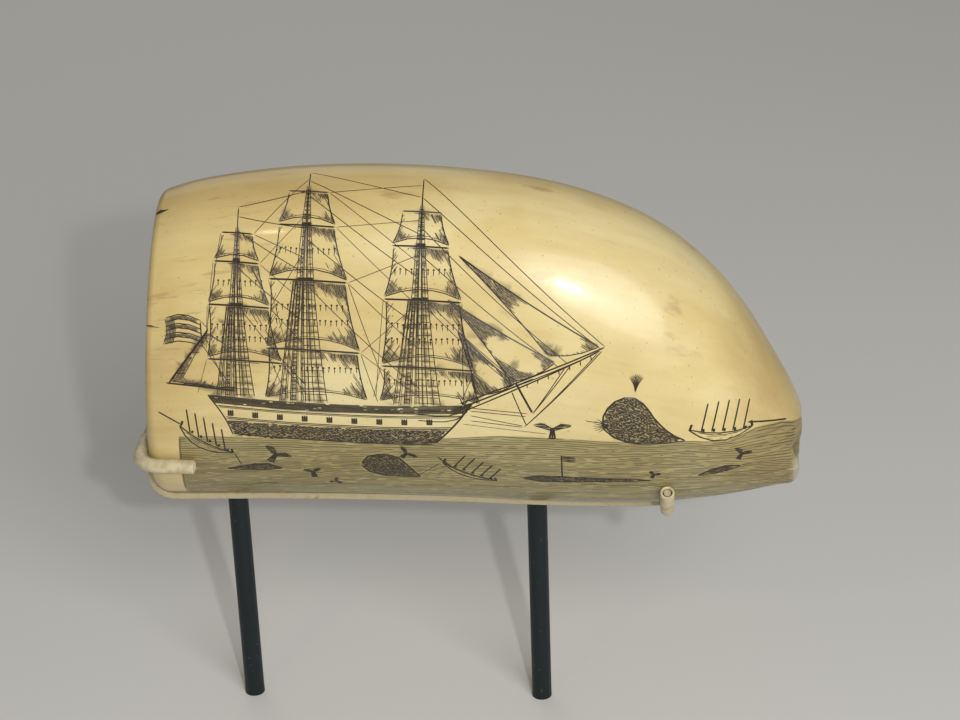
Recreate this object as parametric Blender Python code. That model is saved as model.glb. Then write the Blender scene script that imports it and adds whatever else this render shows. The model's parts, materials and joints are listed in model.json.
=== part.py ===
"""A scrimshaw whale tooth lying in its display cradle.

The tooth is one solid: a closed loft along its curve, sawn off at the root with the pulp cavity open
there, and worn blunt at the tip. The cradle is a bent brass strip with two brass wires brazed across it,
whose ends grip the tooth through soft sleeves. Two posts carry the strip. The origin is midway between
the posts on the deck that they are set in, +X towards the tip, -Y towards the engraved face.
"""

import math

import bmesh
import bpy
import numpy as np

# Tooth
TOOTH_LENGTH = 0.1499
TOOTH_HEIGHT = 0.0821
ROOT_THICKNESS = 0.0376  # front to back across the sawn root end
TIP_ROUNDNESS = 1.6  # how much rounder the section is at the tip than at the root
RIM_RADIUS = 0.0019  # the worn edge of the sawn root end
RIM_RADIUS_BELOW = 0.0044
ROOT_WALL = 0.010  # ivory around the mouth of the pulp cavity
CAVITY_DEPTH = 0.042
CAVITY_TAPER = 0.8
MOUTH_EDGE = 0.001
NOTCH_DEPTH = 0.0022  # the chip across the worn tip
NOTCH_ABOVE = 0.0016
NOTCH_BELOW = 0.0030
NOTCH_WIDTH = 0.009
NOTCH_TILT = 0.51  # its rise for each step towards the front

# Cradle
SEAT_HEIGHT = 0.0566  # from the deck to the lowest point of the tooth
ROOT_OVERHANG = 0.0187  # how far the root end reaches past the left post
STRIP_OVERHANG = 0.0312  # how far the strip reaches past the right post
STRIP_WIDTH = 0.00635
STRIP_THICKNESS = 0.0016
STRIP_RISE = 0.0183  # how high the strip climbs the root end above the seat
WIRE_DIAMETER = 0.0016
LEFT_GRIP_HEIGHT = 0.0163  # above the seat
LEFT_GRIP_REACH = 0.0085  # how far each left finger reaches along the side of the tooth
RIGHT_GRIP_SETBACK = 0.0008  # from the strip's right end
RIGHT_GRIP_HEIGHT = 0.0120
BRAZE_DEPTH = 0.0003  # how deep the wires sit in the strip
SLEEVE_DIAMETER = 0.0033
SLEEVE_START = 0.0044  # where each sleeve begins, from the middle of the strip
SLEEVE_FIT = 0.0003
WIRE_RECESS = 0.0004  # how far the wire's end lies inside its sleeve

# Posts
POST_SPACING = 0.0705
POST_DIAMETER = 0.00476

GAP = 0.0003  # between pieces that touch

# The tooth's outline as ribs from root to tip. Each is the point on its upper and on its lower edge,
# as shares of the length from the root's lower corner and of the height from the lowest point.
RIBS = (
    (0.047, 0.925, 0.000, 0.014),
    (0.112, 0.960, 0.069, 0.016),
    (0.281, 0.997, 0.246, 0.019),
    (0.478, 0.988, 0.453, 0.014),
    (0.646, 0.935, 0.629, 0.003),
    (0.772, 0.838, 0.761, 0.003),
    (0.860, 0.706, 0.853, 0.019),
    (0.912, 0.585, 0.909, 0.033),
    (0.945, 0.484, 0.943, 0.044),
    (0.973, 0.392, 0.971, 0.052),
    (0.991, 0.323, 0.989, 0.056),
    (0.999, 0.280, 0.997, 0.085),
    (1.000, 0.181, 1.000, 0.181),
)
NOTCH_CENTRE = 0.160  # share of the height

ROOT_X = -POST_SPACING / 2 - ROOT_OVERHANG
TOOTH_SIDES = 48
WALL_RINGS = 36
WALL_CROWDING = 1.6  # rings lie closer together towards the tip
RIM_RINGS = 5
FACE_RINGS = 2
CAVITY_RINGS = 9
TUBE_SIDES = 10
TUBE_STEP = 0.0015  # between the rings of a wire or a sleeve
TUBE_UP = (1, 0, 0.3)  # no wire runs this way, so its rings can be turned by it
BELOW = -math.pi / 2  # the angle of the tooth's underside; 0 is its front and pi its back


def smooth_line(points, steps):
    """A centripetal Catmull-Rom curve through points of any dimension."""
    points = np.asarray(points, float)
    points = np.vstack([2 * points[0] - points[1], points, 2 * points[-1] - points[-2]])
    line = []
    for i in range(1, len(points) - 2):
        a, b, c, d = points[i - 1 : i + 3]
        knots = np.cumsum([0] + [math.sqrt(np.linalg.norm(q - p)) for p, q in ((a, b), (b, c), (c, d))])
        for t in np.linspace(knots[1], knots[2], steps, endpoint=False):
            ab, bc, cd = (
                p + (q - p) * (t - knots[k]) / (knots[k + 1] - knots[k])
                for k, (p, q) in enumerate(((a, b), (b, c), (c, d)))
            )
            abc = ab + (bc - ab) * (t - knots[0]) / (knots[2] - knots[0])
            bcd = bc + (cd - bc) * (t - knots[1]) / (knots[3] - knots[1])
            line.append(abc + (bcd - abc) * (t - knots[1]) / (knots[2] - knots[1]))
    line.append(points[-2])
    return np.array(line)


def lengths(line):
    """How far each point of a line lies from its start."""
    return np.concatenate([[0], np.cumsum(np.linalg.norm(np.diff(line, axis=0), axis=1))])


SHARES = smooth_line(RIBS, 16)
EDGES = SHARES * ((TOOTH_LENGTH, TOOTH_HEIGHT) * 2) + ((ROOT_X, SEAT_HEIGHT) * 2)
RUN = lengths(EDGES)
# Both edges advance together, so the run of a rib counts each step along the tooth twice over.
RUN_PER_LENGTH = math.sqrt(2)


def rib(run):
    """Middle of the tooth, direction to its upper edge, half height and half thickness at a run."""
    edge = np.stack([np.interp(run, RUN, EDGES[:, k]) for k in range(4)], axis=-1)
    upper, lower = edge[..., :2], edge[..., 2:]
    chord = (upper - lower) / 2
    half_height = np.linalg.norm(chord, axis=-1)
    progress = (edge[..., 0] - EDGES[0, 0]) / (EDGES[-1, 0] - EDGES[0, 0])
    roundness = 1 + (TIP_ROUNDNESS - 1) * progress**2
    half_thickness = ROOT_THICKNESS / np.linalg.norm(EDGES[0, :2] - EDGES[0, 2:]) * roundness * half_height
    direction = chord / np.maximum(half_height, 1e-9)[..., None]
    return (upper + lower) / 2, direction, half_height, half_thickness


def on_section(middle, direction, half_height, half_thickness, angle):
    rise = half_height * np.sin(angle)
    x = middle[..., 0] + direction[..., 0] * rise
    z = middle[..., 1] + direction[..., 1] * rise
    return np.stack(np.broadcast_arrays(x, -half_thickness * np.cos(angle), z), axis=-1)


def rim_radius(angle):
    """The worn root edge is rounder underneath than elsewhere."""
    lowness = (1 - np.sin(angle)) / 2
    return RIM_RADIUS + (RIM_RADIUS_BELOW - RIM_RADIUS) * lowness**3


def notched(points):
    """The chip: a groove across the blunt tip, steeper above than below."""
    tip_x = ROOT_X + TOOTH_LENGTH
    height = points[..., 2] - (SEAT_HEIGHT + NOTCH_CENTRE * TOOTH_HEIGHT) + NOTCH_TILT * points[..., 1]
    spread = np.where(height > 0, NOTCH_ABOVE, NOTCH_BELOW)
    near_tip = np.clip((points[..., 0] - tip_x) / NOTCH_WIDTH + 1.5, 0, 1)
    depth = NOTCH_DEPTH * np.exp(-((height / spread) ** 2) - (points[..., 1] / NOTCH_WIDTH) ** 4)
    moved = points.copy()
    moved[..., 0] -= depth * near_tip
    return moved


def surface(v, angle):
    """The tooth's skin. v runs from 1 at the tip to 0 along the wall, to -1 round the root's rim, and
    to -2 across the sawn face to the mouth of the cavity."""
    v, angle = np.broadcast_arrays(np.asarray(v, float), np.asarray(angle, float))
    radius = rim_radius(angle)
    turn = np.clip(-v, 0, 1) * math.pi / 2
    from_face = radius * (1 - np.sin(turn))
    inset = radius * (1 - np.cos(turn))
    start = from_face * RUN_PER_LENGTH
    run = start + (RUN[-1] - start) * np.clip(v, 0, 1)
    middle, direction, half_height, half_thickness = rib(run)
    across = np.clip(-v - 1, 0, 1)
    inset = inset + across * (ROOT_WALL - MOUTH_EDGE - inset)
    inset = np.where(v < 0, inset, 0)
    return notched(on_section(middle, direction, half_height - inset, half_thickness - inset, angle))


def outward(v, angle):
    """The skin's outward normals."""
    step = 1e-3
    along = surface(v + step, angle) - surface(v - step, angle)
    around = surface(v, angle + step) - surface(v, angle - step)
    normal = np.cross(along, around)
    return normal / np.linalg.norm(normal, axis=-1)[..., None]


def cavity_ring(depth, shrink, angle):
    """A ring of the pulp cavity's wall at a depth below the sawn face."""
    middle, direction, _, _ = rib(np.full_like(angle, depth * RUN_PER_LENGTH))
    _, _, half_height, half_thickness = rib(np.zeros_like(angle))
    return on_section(
        middle, direction, (half_height - ROOT_WALL) * shrink, (half_thickness - ROOT_WALL) * shrink, angle
    )


def lathe(rings, first_pole=None, last_pole=None):
    """A closed mesh through rings of points, in order from one end to the other."""
    mesh = bmesh.new()
    loops = [[mesh.verts.new(point) for point in ring] for ring in rings]
    for one, other in zip(loops, loops[1:]):
        for i in range(len(one)):
            j = (i + 1) % len(one)
            mesh.faces.new((one[i], one[j], other[j], other[i]))
    for loop, pole in ((loops[0], first_pole), (loops[-1], last_pole)):
        if pole is None:
            mesh.faces.new(loop)
            continue
        centre = mesh.verts.new(pole)
        for i in range(len(loop)):
            mesh.faces.new((loop[i], loop[(i + 1) % len(loop)], centre))
    return mesh


def sideways(line, towards):
    """Two axes across each point of a line: the part of towards that lies across it, and the other."""
    line = np.asarray(line)
    along = np.gradient(line, axis=0)
    along /= np.linalg.norm(along, axis=1)[:, None]
    first = towards - along * (along @ towards)[:, None]
    first /= np.linalg.norm(first, axis=1)[:, None]
    return first, np.cross(along, first)


def circles(line, radius, sides, towards):
    """Rings of points of this radius around a line."""
    first, second = sideways(line, np.asarray(towards, float))
    angles = np.arange(sides) * 2 * math.pi / sides
    return [
        point + radius * (np.outer(np.cos(angles), a) + np.outer(np.sin(angles), b))
        for point, a, b in zip(line, first, second)
    ]


def make_object(name, mesh, smooth_angle=math.radians(40)):
    """Turns a bmesh into a scene object with outward faces and smooth shading."""
    bmesh.ops.recalc_face_normals(mesh, faces=mesh.faces)
    data = bpy.data.meshes.new(name)
    mesh.to_mesh(data)
    mesh.free()
    data.shade_smooth()
    data.set_sharp_from_angle(angle=smooth_angle)
    made = bpy.data.objects.new(name, data)
    bpy.context.scene.collection.objects.link(made)
    return made


def paint(made, name, colour, roughness, metallic=0.0):
    material = bpy.data.materials.new(name)
    material.use_nodes = True
    shader = material.node_tree.nodes["Principled BSDF"]
    shader.inputs["Base Color"].default_value = (*colour, 1)
    shader.inputs["Roughness"].default_value = roughness
    shader.inputs["Metallic"].default_value = metallic
    made.data.materials.append(material)


def make_tooth():
    angles = BELOW + np.arange(TOOTH_SIDES) * 2 * math.pi / TOOTH_SIDES
    places = [(1 - k / WALL_RINGS) ** WALL_CROWDING for k in range(1, WALL_RINGS + 1)]
    rings = [surface(1 - place, angles) for place in reversed(places)]
    rings += [surface(-k / RIM_RINGS, angles) for k in range(1, RIM_RINGS + 1)]
    rings += [surface(-1 - k / FACE_RINGS, angles) for k in range(1, FACE_RINGS + 1)]
    rings += [cavity_ring(MOUTH_EDGE, 1, angles)]
    for k in range(1, CAVITY_RINGS):
        left = (1 - k / CAVITY_RINGS) ** 1.5
        rings.append(cavity_ring(MOUTH_EDGE + (CAVITY_DEPTH - MOUTH_EDGE) * (1 - left), left**CAVITY_TAPER, angles))
    tip = surface(1, BELOW)
    apex = cavity_ring(CAVITY_DEPTH, 0, np.array([BELOW]))[0]
    return lathe(rings, tip, apex)


def place_at_x(x, angle):
    """How far along the wall the skin has this x."""
    v = np.linspace(0, 1, 400)
    return np.interp(x, surface(v, angle)[:, 0], v)


def beside_tooth(v, height, clear):
    """The point at this height that lies this far off the front of the tooth."""
    angles = np.linspace(BELOW, -BELOW, 360)
    around = surface(v, angles) + outward(v, angles) * clear
    return np.array([np.interp(height, around[:, 2], around[:, k]) for k in range(3)])


def part_of(line, start, end):
    """The stretch of a line between two distances from its start."""
    run = lengths(line)
    even = np.linspace(start, end, max(2, round((end - start) / TUBE_STEP) + 1))
    return np.stack([np.interp(even, run, line[:, k]) for k in range(3)], axis=1)


def strip_lines():
    """The strip's inner and outer lines in the XZ plane, from its right end to its top on the root."""
    end_x = POST_SPACING / 2 + STRIP_OVERHANG
    wall = np.linspace(place_at_x(end_x, BELOW), 0, 120, endpoint=False)
    v = np.concatenate([wall, np.linspace(0, -1, 24)])
    skin, normal = surface(v, BELOW), outward(v, BELOW)
    _, up, _, _ = rib(np.array(0.0))
    up = np.array([up[0], 0, up[1]])
    corner = skin[-1]
    rise = (SEAT_HEIGHT + STRIP_RISE - corner[2]) / up[2]
    climb = corner + np.outer(np.linspace(0, rise, 8)[1:], up)
    away = np.array([-up[2], 0, up[0]])
    skin = np.vstack([skin, climb])
    normal = np.vstack([normal, np.tile(away, (len(climb), 1))])
    normal[:, 1] = 0
    return skin + normal * GAP, skin + normal * (GAP + STRIP_THICKNESS)


def make_strip():
    """The strip: its ends are filed round, so its width narrows there."""
    inner, outer = strip_lines()
    run = lengths(outer)
    half = STRIP_WIDTH / 2
    rounding = [half * (1 - math.cos(math.radians(a))) for a in (12, 30, 50, 70, 90)]
    middle = np.linspace(half, run[-1] - half, 44)[1:-1]
    places = np.concatenate([rounding, middle, run[-1] - np.array(rounding[::-1])])
    to_end = np.minimum(np.minimum(places, run[-1] - places), half)
    widths = np.sqrt(half**2 - (half - to_end) ** 2)
    rings = []
    for place, width in zip(places, widths):
        low, high = (np.array([np.interp(place, run, line[:, k]) for k in range(3)]) for line in (outer, inner))
        across = np.array([0, width, 0])
        rings.append([low - across, low + across, high + across, high - across])
    return lathe(rings)


def left_grip():
    """The left wire's front half: from the middle of the strip, round the root's corner, along the face."""
    height = SEAT_HEIGHT + LEFT_GRIP_HEIGHT
    reach = LEFT_GRIP_REACH * RUN_PER_LENGTH / RUN[-1]
    clear = SLEEVE_DIAMETER / 2 + GAP
    places = np.concatenate([np.linspace(-1, 0, 9), np.linspace(0, reach, 6)[1:]])
    line = np.array([beside_tooth(v, height, clear) for v in places])
    on_strip = line[0].copy()
    on_strip[0] += clear - (GAP + STRIP_THICKNESS - BRAZE_DEPTH + WIRE_DIAMETER / 2)
    middle = on_strip * (1, 0, 1)
    beside = on_strip * (1, 0, 1) - (0, STRIP_WIDTH / 2, 0)
    return np.vstack([[middle], [beside], [line[0] * (1, 0, 1) - (0, SLEEVE_START, 0)], line])


def right_grip():
    """The right wire's front half: from under the strip's end, round the tooth's section, up its face."""
    x = POST_SPACING / 2 + STRIP_OVERHANG - RIGHT_GRIP_SETBACK
    clear = SLEEVE_DIAMETER / 2 + GAP
    under = GAP + STRIP_THICKNESS - BRAZE_DEPTH + WIRE_DIAMETER / 2
    line = []
    for angle in np.linspace(BELOW, 0, 60):
        v = place_at_x(x, angle)
        point = surface(v, angle)
        beside_strip = min(1.0, abs(point[1]) / SLEEVE_START)
        line.append(point + outward(v, angle) * (under + (clear - under) * beside_strip))
    line = np.array(line)
    line[:, 0] = x
    keep = line[:, 2] < SEAT_HEIGHT + RIGHT_GRIP_HEIGHT
    return line[keep]


def make_grip(name, half_line):
    """One wire across the strip, and the soft sleeves on its two fingers."""
    mirrored = half_line * (1, -1, 1)
    run = lengths(half_line)
    wire_half = part_of(half_line, 0, run[-1] - WIRE_RECESS)
    whole = np.vstack([(wire_half[::-1] * (1, -1, 1))[:-1], wire_half])
    wire = make_object(f"{name}_wire", lathe(circles(whole, WIRE_DIAMETER / 2, TUBE_SIDES, TUBE_UP)))
    wire.hide_render = True
    wire.display_type = "WIRE"
    start = np.interp(SLEEVE_START, np.abs(half_line[:, 1]), run)
    for side, line in (("front", half_line), ("back", mirrored)):
        stretch = part_of(line, start, run[-1])
        outer = circles(stretch, SLEEVE_DIAMETER / 2, TUBE_SIDES, TUBE_UP)
        bore = circles(stretch, WIRE_DIAMETER / 2 + SLEEVE_FIT, TUBE_SIDES, TUBE_UP)
        sleeve = make_object(f"sleeve_{name}_{side}", closed_ring(outer + bore[::-1]))
        paint(sleeve, "sleeve", (0.62, 0.57, 0.42), 0.42)
    return wire


def closed_ring(rings):
    """A closed mesh through rings that come back to the first one, as a tube with a bore does."""
    mesh = bmesh.new()
    loops = [[mesh.verts.new(point) for point in ring] for ring in rings]
    for one, other in zip(loops, loops[1:] + loops[:1]):
        for i in range(len(one)):
            j = (i + 1) % len(one)
            mesh.faces.new((one[i], one[j], other[j], other[i]))
    return mesh


def make_cradle():
    """The strip with both wires brazed across it: one solid."""
    strip = make_object("cradle", make_strip())
    for wire in (make_grip("left", left_grip()), make_grip("right", right_grip())):
        union = strip.modifiers.new(wire.name, "BOOLEAN")
        union.operation = "UNION"
        union.solver = "EXACT"
        union.object = wire
    paint(strip, "cradle_paint", (0.60, 0.54, 0.38), 0.45)


def make_post(name, x):
    """A round rod from the deck to just under the strip."""
    _, outer = strip_lines()
    under = outer[np.abs(outer[:, 0] - x) < POST_DIAMETER / 2, 2].min()
    height = under - GAP
    mesh = bmesh.new()
    bmesh.ops.create_cone(
        mesh,
        cap_ends=True,
        segments=32,
        radius1=POST_DIAMETER / 2,
        radius2=POST_DIAMETER / 2,
        depth=height,
    )
    bmesh.ops.translate(mesh, verts=mesh.verts, vec=(0, 0, height / 2))
    post = make_object(name, mesh)
    post.location = (x, 0, 0)
    paint(post, "post_paint", (0.016, 0.024, 0.030), 0.5)


for old in list(bpy.data.objects):
    bpy.data.objects.remove(old)
tooth = make_object("tooth", make_tooth(), math.radians(50))
paint(tooth, "ivory", (0.70, 0.60, 0.36), 0.28)
make_cradle()
make_post("post_left", -POST_SPACING / 2)
make_post("post_right", POST_SPACING / 2)
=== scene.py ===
import json
import math

import bmesh
import bpy
import numpy as np
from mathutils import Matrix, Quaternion, Vector
from mathutils.geometry import delaunay_2d_cdt

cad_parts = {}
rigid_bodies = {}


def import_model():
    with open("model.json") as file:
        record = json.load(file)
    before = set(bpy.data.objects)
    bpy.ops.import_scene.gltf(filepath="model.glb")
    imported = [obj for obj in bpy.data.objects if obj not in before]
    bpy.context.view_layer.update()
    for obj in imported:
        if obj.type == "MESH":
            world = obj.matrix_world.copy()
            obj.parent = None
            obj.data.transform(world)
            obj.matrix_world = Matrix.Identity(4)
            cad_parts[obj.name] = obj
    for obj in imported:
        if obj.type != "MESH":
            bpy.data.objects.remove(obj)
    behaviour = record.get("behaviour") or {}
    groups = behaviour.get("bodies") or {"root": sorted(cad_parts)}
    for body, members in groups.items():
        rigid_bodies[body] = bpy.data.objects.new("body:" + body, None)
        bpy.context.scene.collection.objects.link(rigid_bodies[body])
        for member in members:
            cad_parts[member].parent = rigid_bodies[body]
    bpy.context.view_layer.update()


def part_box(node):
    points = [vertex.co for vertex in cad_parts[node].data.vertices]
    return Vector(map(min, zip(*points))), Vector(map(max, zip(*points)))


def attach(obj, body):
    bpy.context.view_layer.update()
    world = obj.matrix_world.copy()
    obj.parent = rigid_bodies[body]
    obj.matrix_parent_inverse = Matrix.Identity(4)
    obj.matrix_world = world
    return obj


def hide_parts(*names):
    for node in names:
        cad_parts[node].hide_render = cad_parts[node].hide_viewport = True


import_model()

# The tooth's form: one sperm whale tooth, sawn off at the root with its pulp cavity open there, scraped and
# polished smooth, and worn blunt at the tip, with an old chip across it. It lies loose in the cradle.
MM = 0.001
TOOTH_LENGTH = 0.1499
TOOTH_HEIGHT = 0.0821
ROOT_THICKNESS = 0.0376
TIP_ROUNDNESS = 1.6
RIM_RADIUS = 0.0019
RIM_RADIUS_BELOW = 0.0044
ROOT_WALL = 0.010
CAVITY_DEPTH = 0.042
CAVITY_TAPER = 0.8
MOUTH_EDGE = 0.001
NOTCH_DEPTH = 0.0022
NOTCH_ABOVE = 0.0016
NOTCH_BELOW = 0.0030
NOTCH_WIDTH = 0.009
NOTCH_TILT = 0.51
NOTCH_CENTRE = 0.160
SEAT_HEIGHT = 0.0566
ROOT_X = -0.05395
RIBS = (
    (0.047, 0.925, 0.000, 0.014),
    (0.112, 0.960, 0.069, 0.016),
    (0.281, 0.997, 0.246, 0.019),
    (0.478, 0.988, 0.453, 0.014),
    (0.646, 0.935, 0.629, 0.003),
    (0.772, 0.838, 0.761, 0.003),
    (0.860, 0.706, 0.853, 0.019),
    (0.912, 0.585, 0.909, 0.033),
    (0.945, 0.484, 0.943, 0.044),
    (0.973, 0.392, 0.971, 0.052),
    (0.991, 0.323, 0.989, 0.056),
    (0.999, 0.280, 0.997, 0.085),
    (1.000, 0.181, 1.000, 0.181),
)
BELOW = -math.pi / 2
SIDES = 96
WALL_RINGS = 96
WALL_CROWDING = 1.35
RIM_TURNS = np.radians((90, 72, 54, 36, 18))
FACE_RINGS = 7
CAVITY_RINGS = 16


def smooth_line(points, steps):
    """A centripetal Catmull-Rom curve through points of any dimension."""
    points = np.asarray(points, float)
    points = np.vstack([2 * points[0] - points[1], points, 2 * points[-1] - points[-2]])
    line = []
    for i in range(1, len(points) - 2):
        a, b, c, d = points[i - 1 : i + 3]
        knots = np.cumsum([0] + [math.sqrt(np.linalg.norm(q - p)) for p, q in ((a, b), (b, c), (c, d))])
        for t in np.linspace(knots[1], knots[2], steps, endpoint=False):
            ab, bc, cd = (
                p + (q - p) * (t - knots[k]) / (knots[k + 1] - knots[k])
                for k, (p, q) in enumerate(((a, b), (b, c), (c, d)))
            )
            abc = ab + (bc - ab) * (t - knots[0]) / (knots[2] - knots[0])
            bcd = bc + (cd - bc) * (t - knots[1]) / (knots[3] - knots[1])
            line.append(abc + (bcd - abc) * (t - knots[1]) / (knots[2] - knots[1]))
    line.append(points[-2])
    return np.array(line)


def lengths(line):
    """How far each point of a line lies from its start."""
    return np.concatenate([[0], np.cumsum(np.linalg.norm(np.diff(line, axis=0), axis=1))])


EDGES = smooth_line(RIBS, 16) * ((TOOTH_LENGTH, TOOTH_HEIGHT) * 2) + ((ROOT_X, SEAT_HEIGHT) * 2)
RUN = lengths(EDGES)
RUN_PER_LENGTH = math.sqrt(2)


def rib(run):
    """Middle of the tooth, direction to its upper edge, half height and half thickness at a run."""
    edge = np.stack([np.interp(run, RUN, EDGES[:, k]) for k in range(4)], axis=-1)
    upper, lower = edge[..., :2], edge[..., 2:]
    chord = (upper - lower) / 2
    half_height = np.linalg.norm(chord, axis=-1)
    progress = (edge[..., 0] - EDGES[0, 0]) / (EDGES[-1, 0] - EDGES[0, 0])
    roundness = 1 + (TIP_ROUNDNESS - 1) * progress**2
    half_thickness = ROOT_THICKNESS / np.linalg.norm(EDGES[0, :2] - EDGES[0, 2:]) * roundness * half_height
    direction = chord / np.maximum(half_height, 1e-9)[..., None]
    return (upper + lower) / 2, direction, half_height, half_thickness


def on_section(middle, direction, half_height, half_thickness, angle):
    rise = half_height * np.sin(angle)
    x = middle[..., 0] + direction[..., 0] * rise
    z = middle[..., 1] + direction[..., 1] * rise
    return np.stack(np.broadcast_arrays(x, -half_thickness * np.cos(angle), z), axis=-1)


def rim_radius(angle):
    """The worn root edge is rounder underneath than elsewhere."""
    return RIM_RADIUS + (RIM_RADIUS_BELOW - RIM_RADIUS) * ((1 - np.sin(angle)) / 2) ** 3


def notched(points):
    """The chip: a groove across the blunt tip, steeper above than below."""
    height = points[..., 2] - (SEAT_HEIGHT + NOTCH_CENTRE * TOOTH_HEIGHT) + NOTCH_TILT * points[..., 1]
    spread = np.where(height > 0, NOTCH_ABOVE, NOTCH_BELOW)
    near_tip = np.clip((points[..., 0] - ROOT_X - TOOTH_LENGTH) / NOTCH_WIDTH + 1.5, 0, 1)
    depth = NOTCH_DEPTH * np.exp(-((height / spread) ** 2) - (points[..., 1] / NOTCH_WIDTH) ** 4)
    moved = points.copy()
    moved[..., 0] -= depth * near_tip
    return moved


def skin(run, angle, raised=0.0):
    """A point of the tooth's skin, from the edge of the sawn face at a run of 0 to the tip."""
    radius = rim_radius(angle)
    sine = np.clip(1 - run / RUN_PER_LENGTH / radius, 0, 1)
    inset = radius * (1 - np.sqrt(1 - sine**2)) - raised
    middle, direction, half_height, half_thickness = rib(run)
    return notched(on_section(middle, direction, half_height - inset, half_thickness - inset, angle))


def outward(run, angle):
    """The skin's outward normals."""
    step = np.minimum(2e-5, run / 2 + 1e-7)
    along = skin(run + step, angle) - skin(run - step, angle)
    around = skin(run, angle + 1e-3) - skin(run, angle - 1e-3)
    normal = np.cross(along, around)
    return normal / np.maximum(np.linalg.norm(normal, axis=-1), 1e-15)[..., None]


angles = BELOW + np.arange(SIDES) * 2 * math.pi / SIDES
wall_start = rim_radius(angles) * RUN_PER_LENGTH
cavity, faces_rings = [], []
for k in range(CAVITY_RINGS - 1, -1, -1):
    left = (1 - k / CAVITY_RINGS) ** 1.5
    depth = MOUTH_EDGE + (CAVITY_DEPTH - MOUTH_EDGE) * (1 - left)
    middle, direction, _, _ = rib(np.full(SIDES, depth * RUN_PER_LENGTH))
    _, _, half_height, half_thickness = rib(np.zeros(SIDES))
    halves = [(half - ROOT_WALL) * left**CAVITY_TAPER for half in (half_height, half_thickness)]
    cavity.append(on_section(middle, direction, *halves, angles))
middle, direction, half_height, half_thickness = rib(np.zeros(SIDES))
for k in range(FACE_RINGS):
    inset = ROOT_WALL - MOUTH_EDGE + (rim_radius(angles) - ROOT_WALL + MOUTH_EDGE) * k / FACE_RINGS
    faces_rings.append(on_section(middle, direction, half_height - inset, half_thickness - inset, angles))
rim_runs = [wall_start * (1 - math.sin(turn)) for turn in RIM_TURNS]
places = 1 - (1 - np.arange(WALL_RINGS) / WALL_RINGS) ** WALL_CROWDING
skin_runs = np.array(rim_runs + [wall_start + (RUN[-1] - wall_start) * place for place in places])
rings = np.concatenate([cavity, faces_rings, skin(skin_runs, angles)])
inner_rings = len(cavity) + len(faces_rings)
apex_middle, _, _, _ = rib(np.array(CAVITY_DEPTH * RUN_PER_LENGTH))
cavity_apex = np.array([apex_middle[0], 0, apex_middle[1]])
tip_point = skin(np.array(RUN[-1]), BELOW)


# The picture's ground: the engraver works on the side of the tooth as if it were laid flat. A place on it
# is how far along the tooth it is and how high, measured over the swell of the side, in millimetres.
GAUSS_NODES, GAUSS_WEIGHTS = np.polynomial.legendre.leggauss(12)
HIGHEST_ANGLE = math.radians(85.4)
GROUND_FIRST, GROUND_LAST = 1, 47  # the ground's lowest and highest lengthwise rows of the tooth's mesh
GROUND_END_X = 95.0  # the picture's ground stops short of the blunt tip
run_table = np.linspace(0, RUN[-1], 800)
middle_table = rib(run_table)[0] / MM


def speed(run, angle):
    _, _, half_height, half_thickness = rib(run)
    return np.hypot(half_height * np.cos(angle), half_thickness * np.sin(angle))


def girth(run, angle):
    """How far it is round the section from the middle of the front to an angle."""
    steps = angle[..., None] * (GAUSS_NODES + 1) / 2
    return (speed(np.broadcast_to(run[..., None], steps.shape), steps) * GAUSS_WEIGHTS).sum(-1) * angle / 2


def to_ground(run, angle):
    middle = rib(run)[0] / MM
    return np.stack([middle[..., 0], middle[..., 1] + girth(run, angle) / MM], axis=-1)


def from_ground(places):
    """The run and the angle of places on the ground."""
    run = np.interp(places[:, 0], middle_table[:, 0], run_table)
    wanted = (places[:, 1] - np.interp(run, run_table, middle_table[:, 1])) * MM
    angle = np.clip(wanted / np.maximum(rib(run)[2], 1e-6), -1.4, 1.4)
    for _ in range(8):
        past = girth(run, angle) - wanted
        angle = np.clip(angle - past / np.maximum(speed(run, angle), 1e-6), -1.56, 1.56)
    return run, angle


ground_grid = to_ground(skin_runs, np.broadcast_to(angles, skin_runs.shape))
ground_end = int(np.argmax(ground_grid[:, SIDES // 4, 0] > GROUND_END_X))
edge_runs = skin_runs[1 : ground_end + 1, SIDES // 4]
edge_x = to_ground(edge_runs, np.zeros(len(edge_runs)))[:, 0]
edge_top = to_ground(edge_runs, np.full(len(edge_runs), HIGHEST_ANGLE))[:, 1]
edge_bottom = to_ground(edge_runs, np.full(len(edge_runs), -HIGHEST_ANGLE))[:, 1]


def on_ground(line):
    x, h = line[:, 0], line[:, 1]
    beside = (x > edge_x[0] + 0.05) & (x < edge_x[-1] - 0.3)
    return beside & (h < np.interp(x, edge_x, edge_top)) & (h > np.interp(x, edge_x, edge_bottom))


# The picture's lines: each is cut with a knife or a needle and rubbed with lampblack and oil. A wide line is
# a groove with sloping sides, and all of them start and end in a point. The scene is a whaler under sail.
FINE, INK = 1, 2
LEVEL_STEP, STEEP_STEP = 4.2, 2.1  # a line up and down the swell needs points closer together
POINT_LENGTH = 0.7
GROOVE_SLOPE = 0.45
GROOVE_DEPTH = 0.13
THIN, SHORTEST_SLOPING = 0.19, 1.3  # a narrower or shorter line is a scratch, with no slope to its sides
rng = np.random.default_rng(11)
lines = []
shaded = []  # the lines of hatching, which hold a film of ink between them
covered = []  # outlines that the sea's lines keep out of


def inside(outline, points):
    """Which points lie inside a closed outline."""
    outline = np.asarray(outline)
    after = np.roll(outline, -1, axis=0)
    found = np.zeros(len(points), bool)
    for (x0, y0), (x1, y1) in zip(outline, after):
        if y0 == y1:
            continue
        crosses = (y0 > points[:, 1]) != (y1 > points[:, 1])
        found ^= crosses & (points[:, 0] < x0 + (points[:, 1] - y0) * (x1 - x0) / (y1 - y0))
    return found


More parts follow.
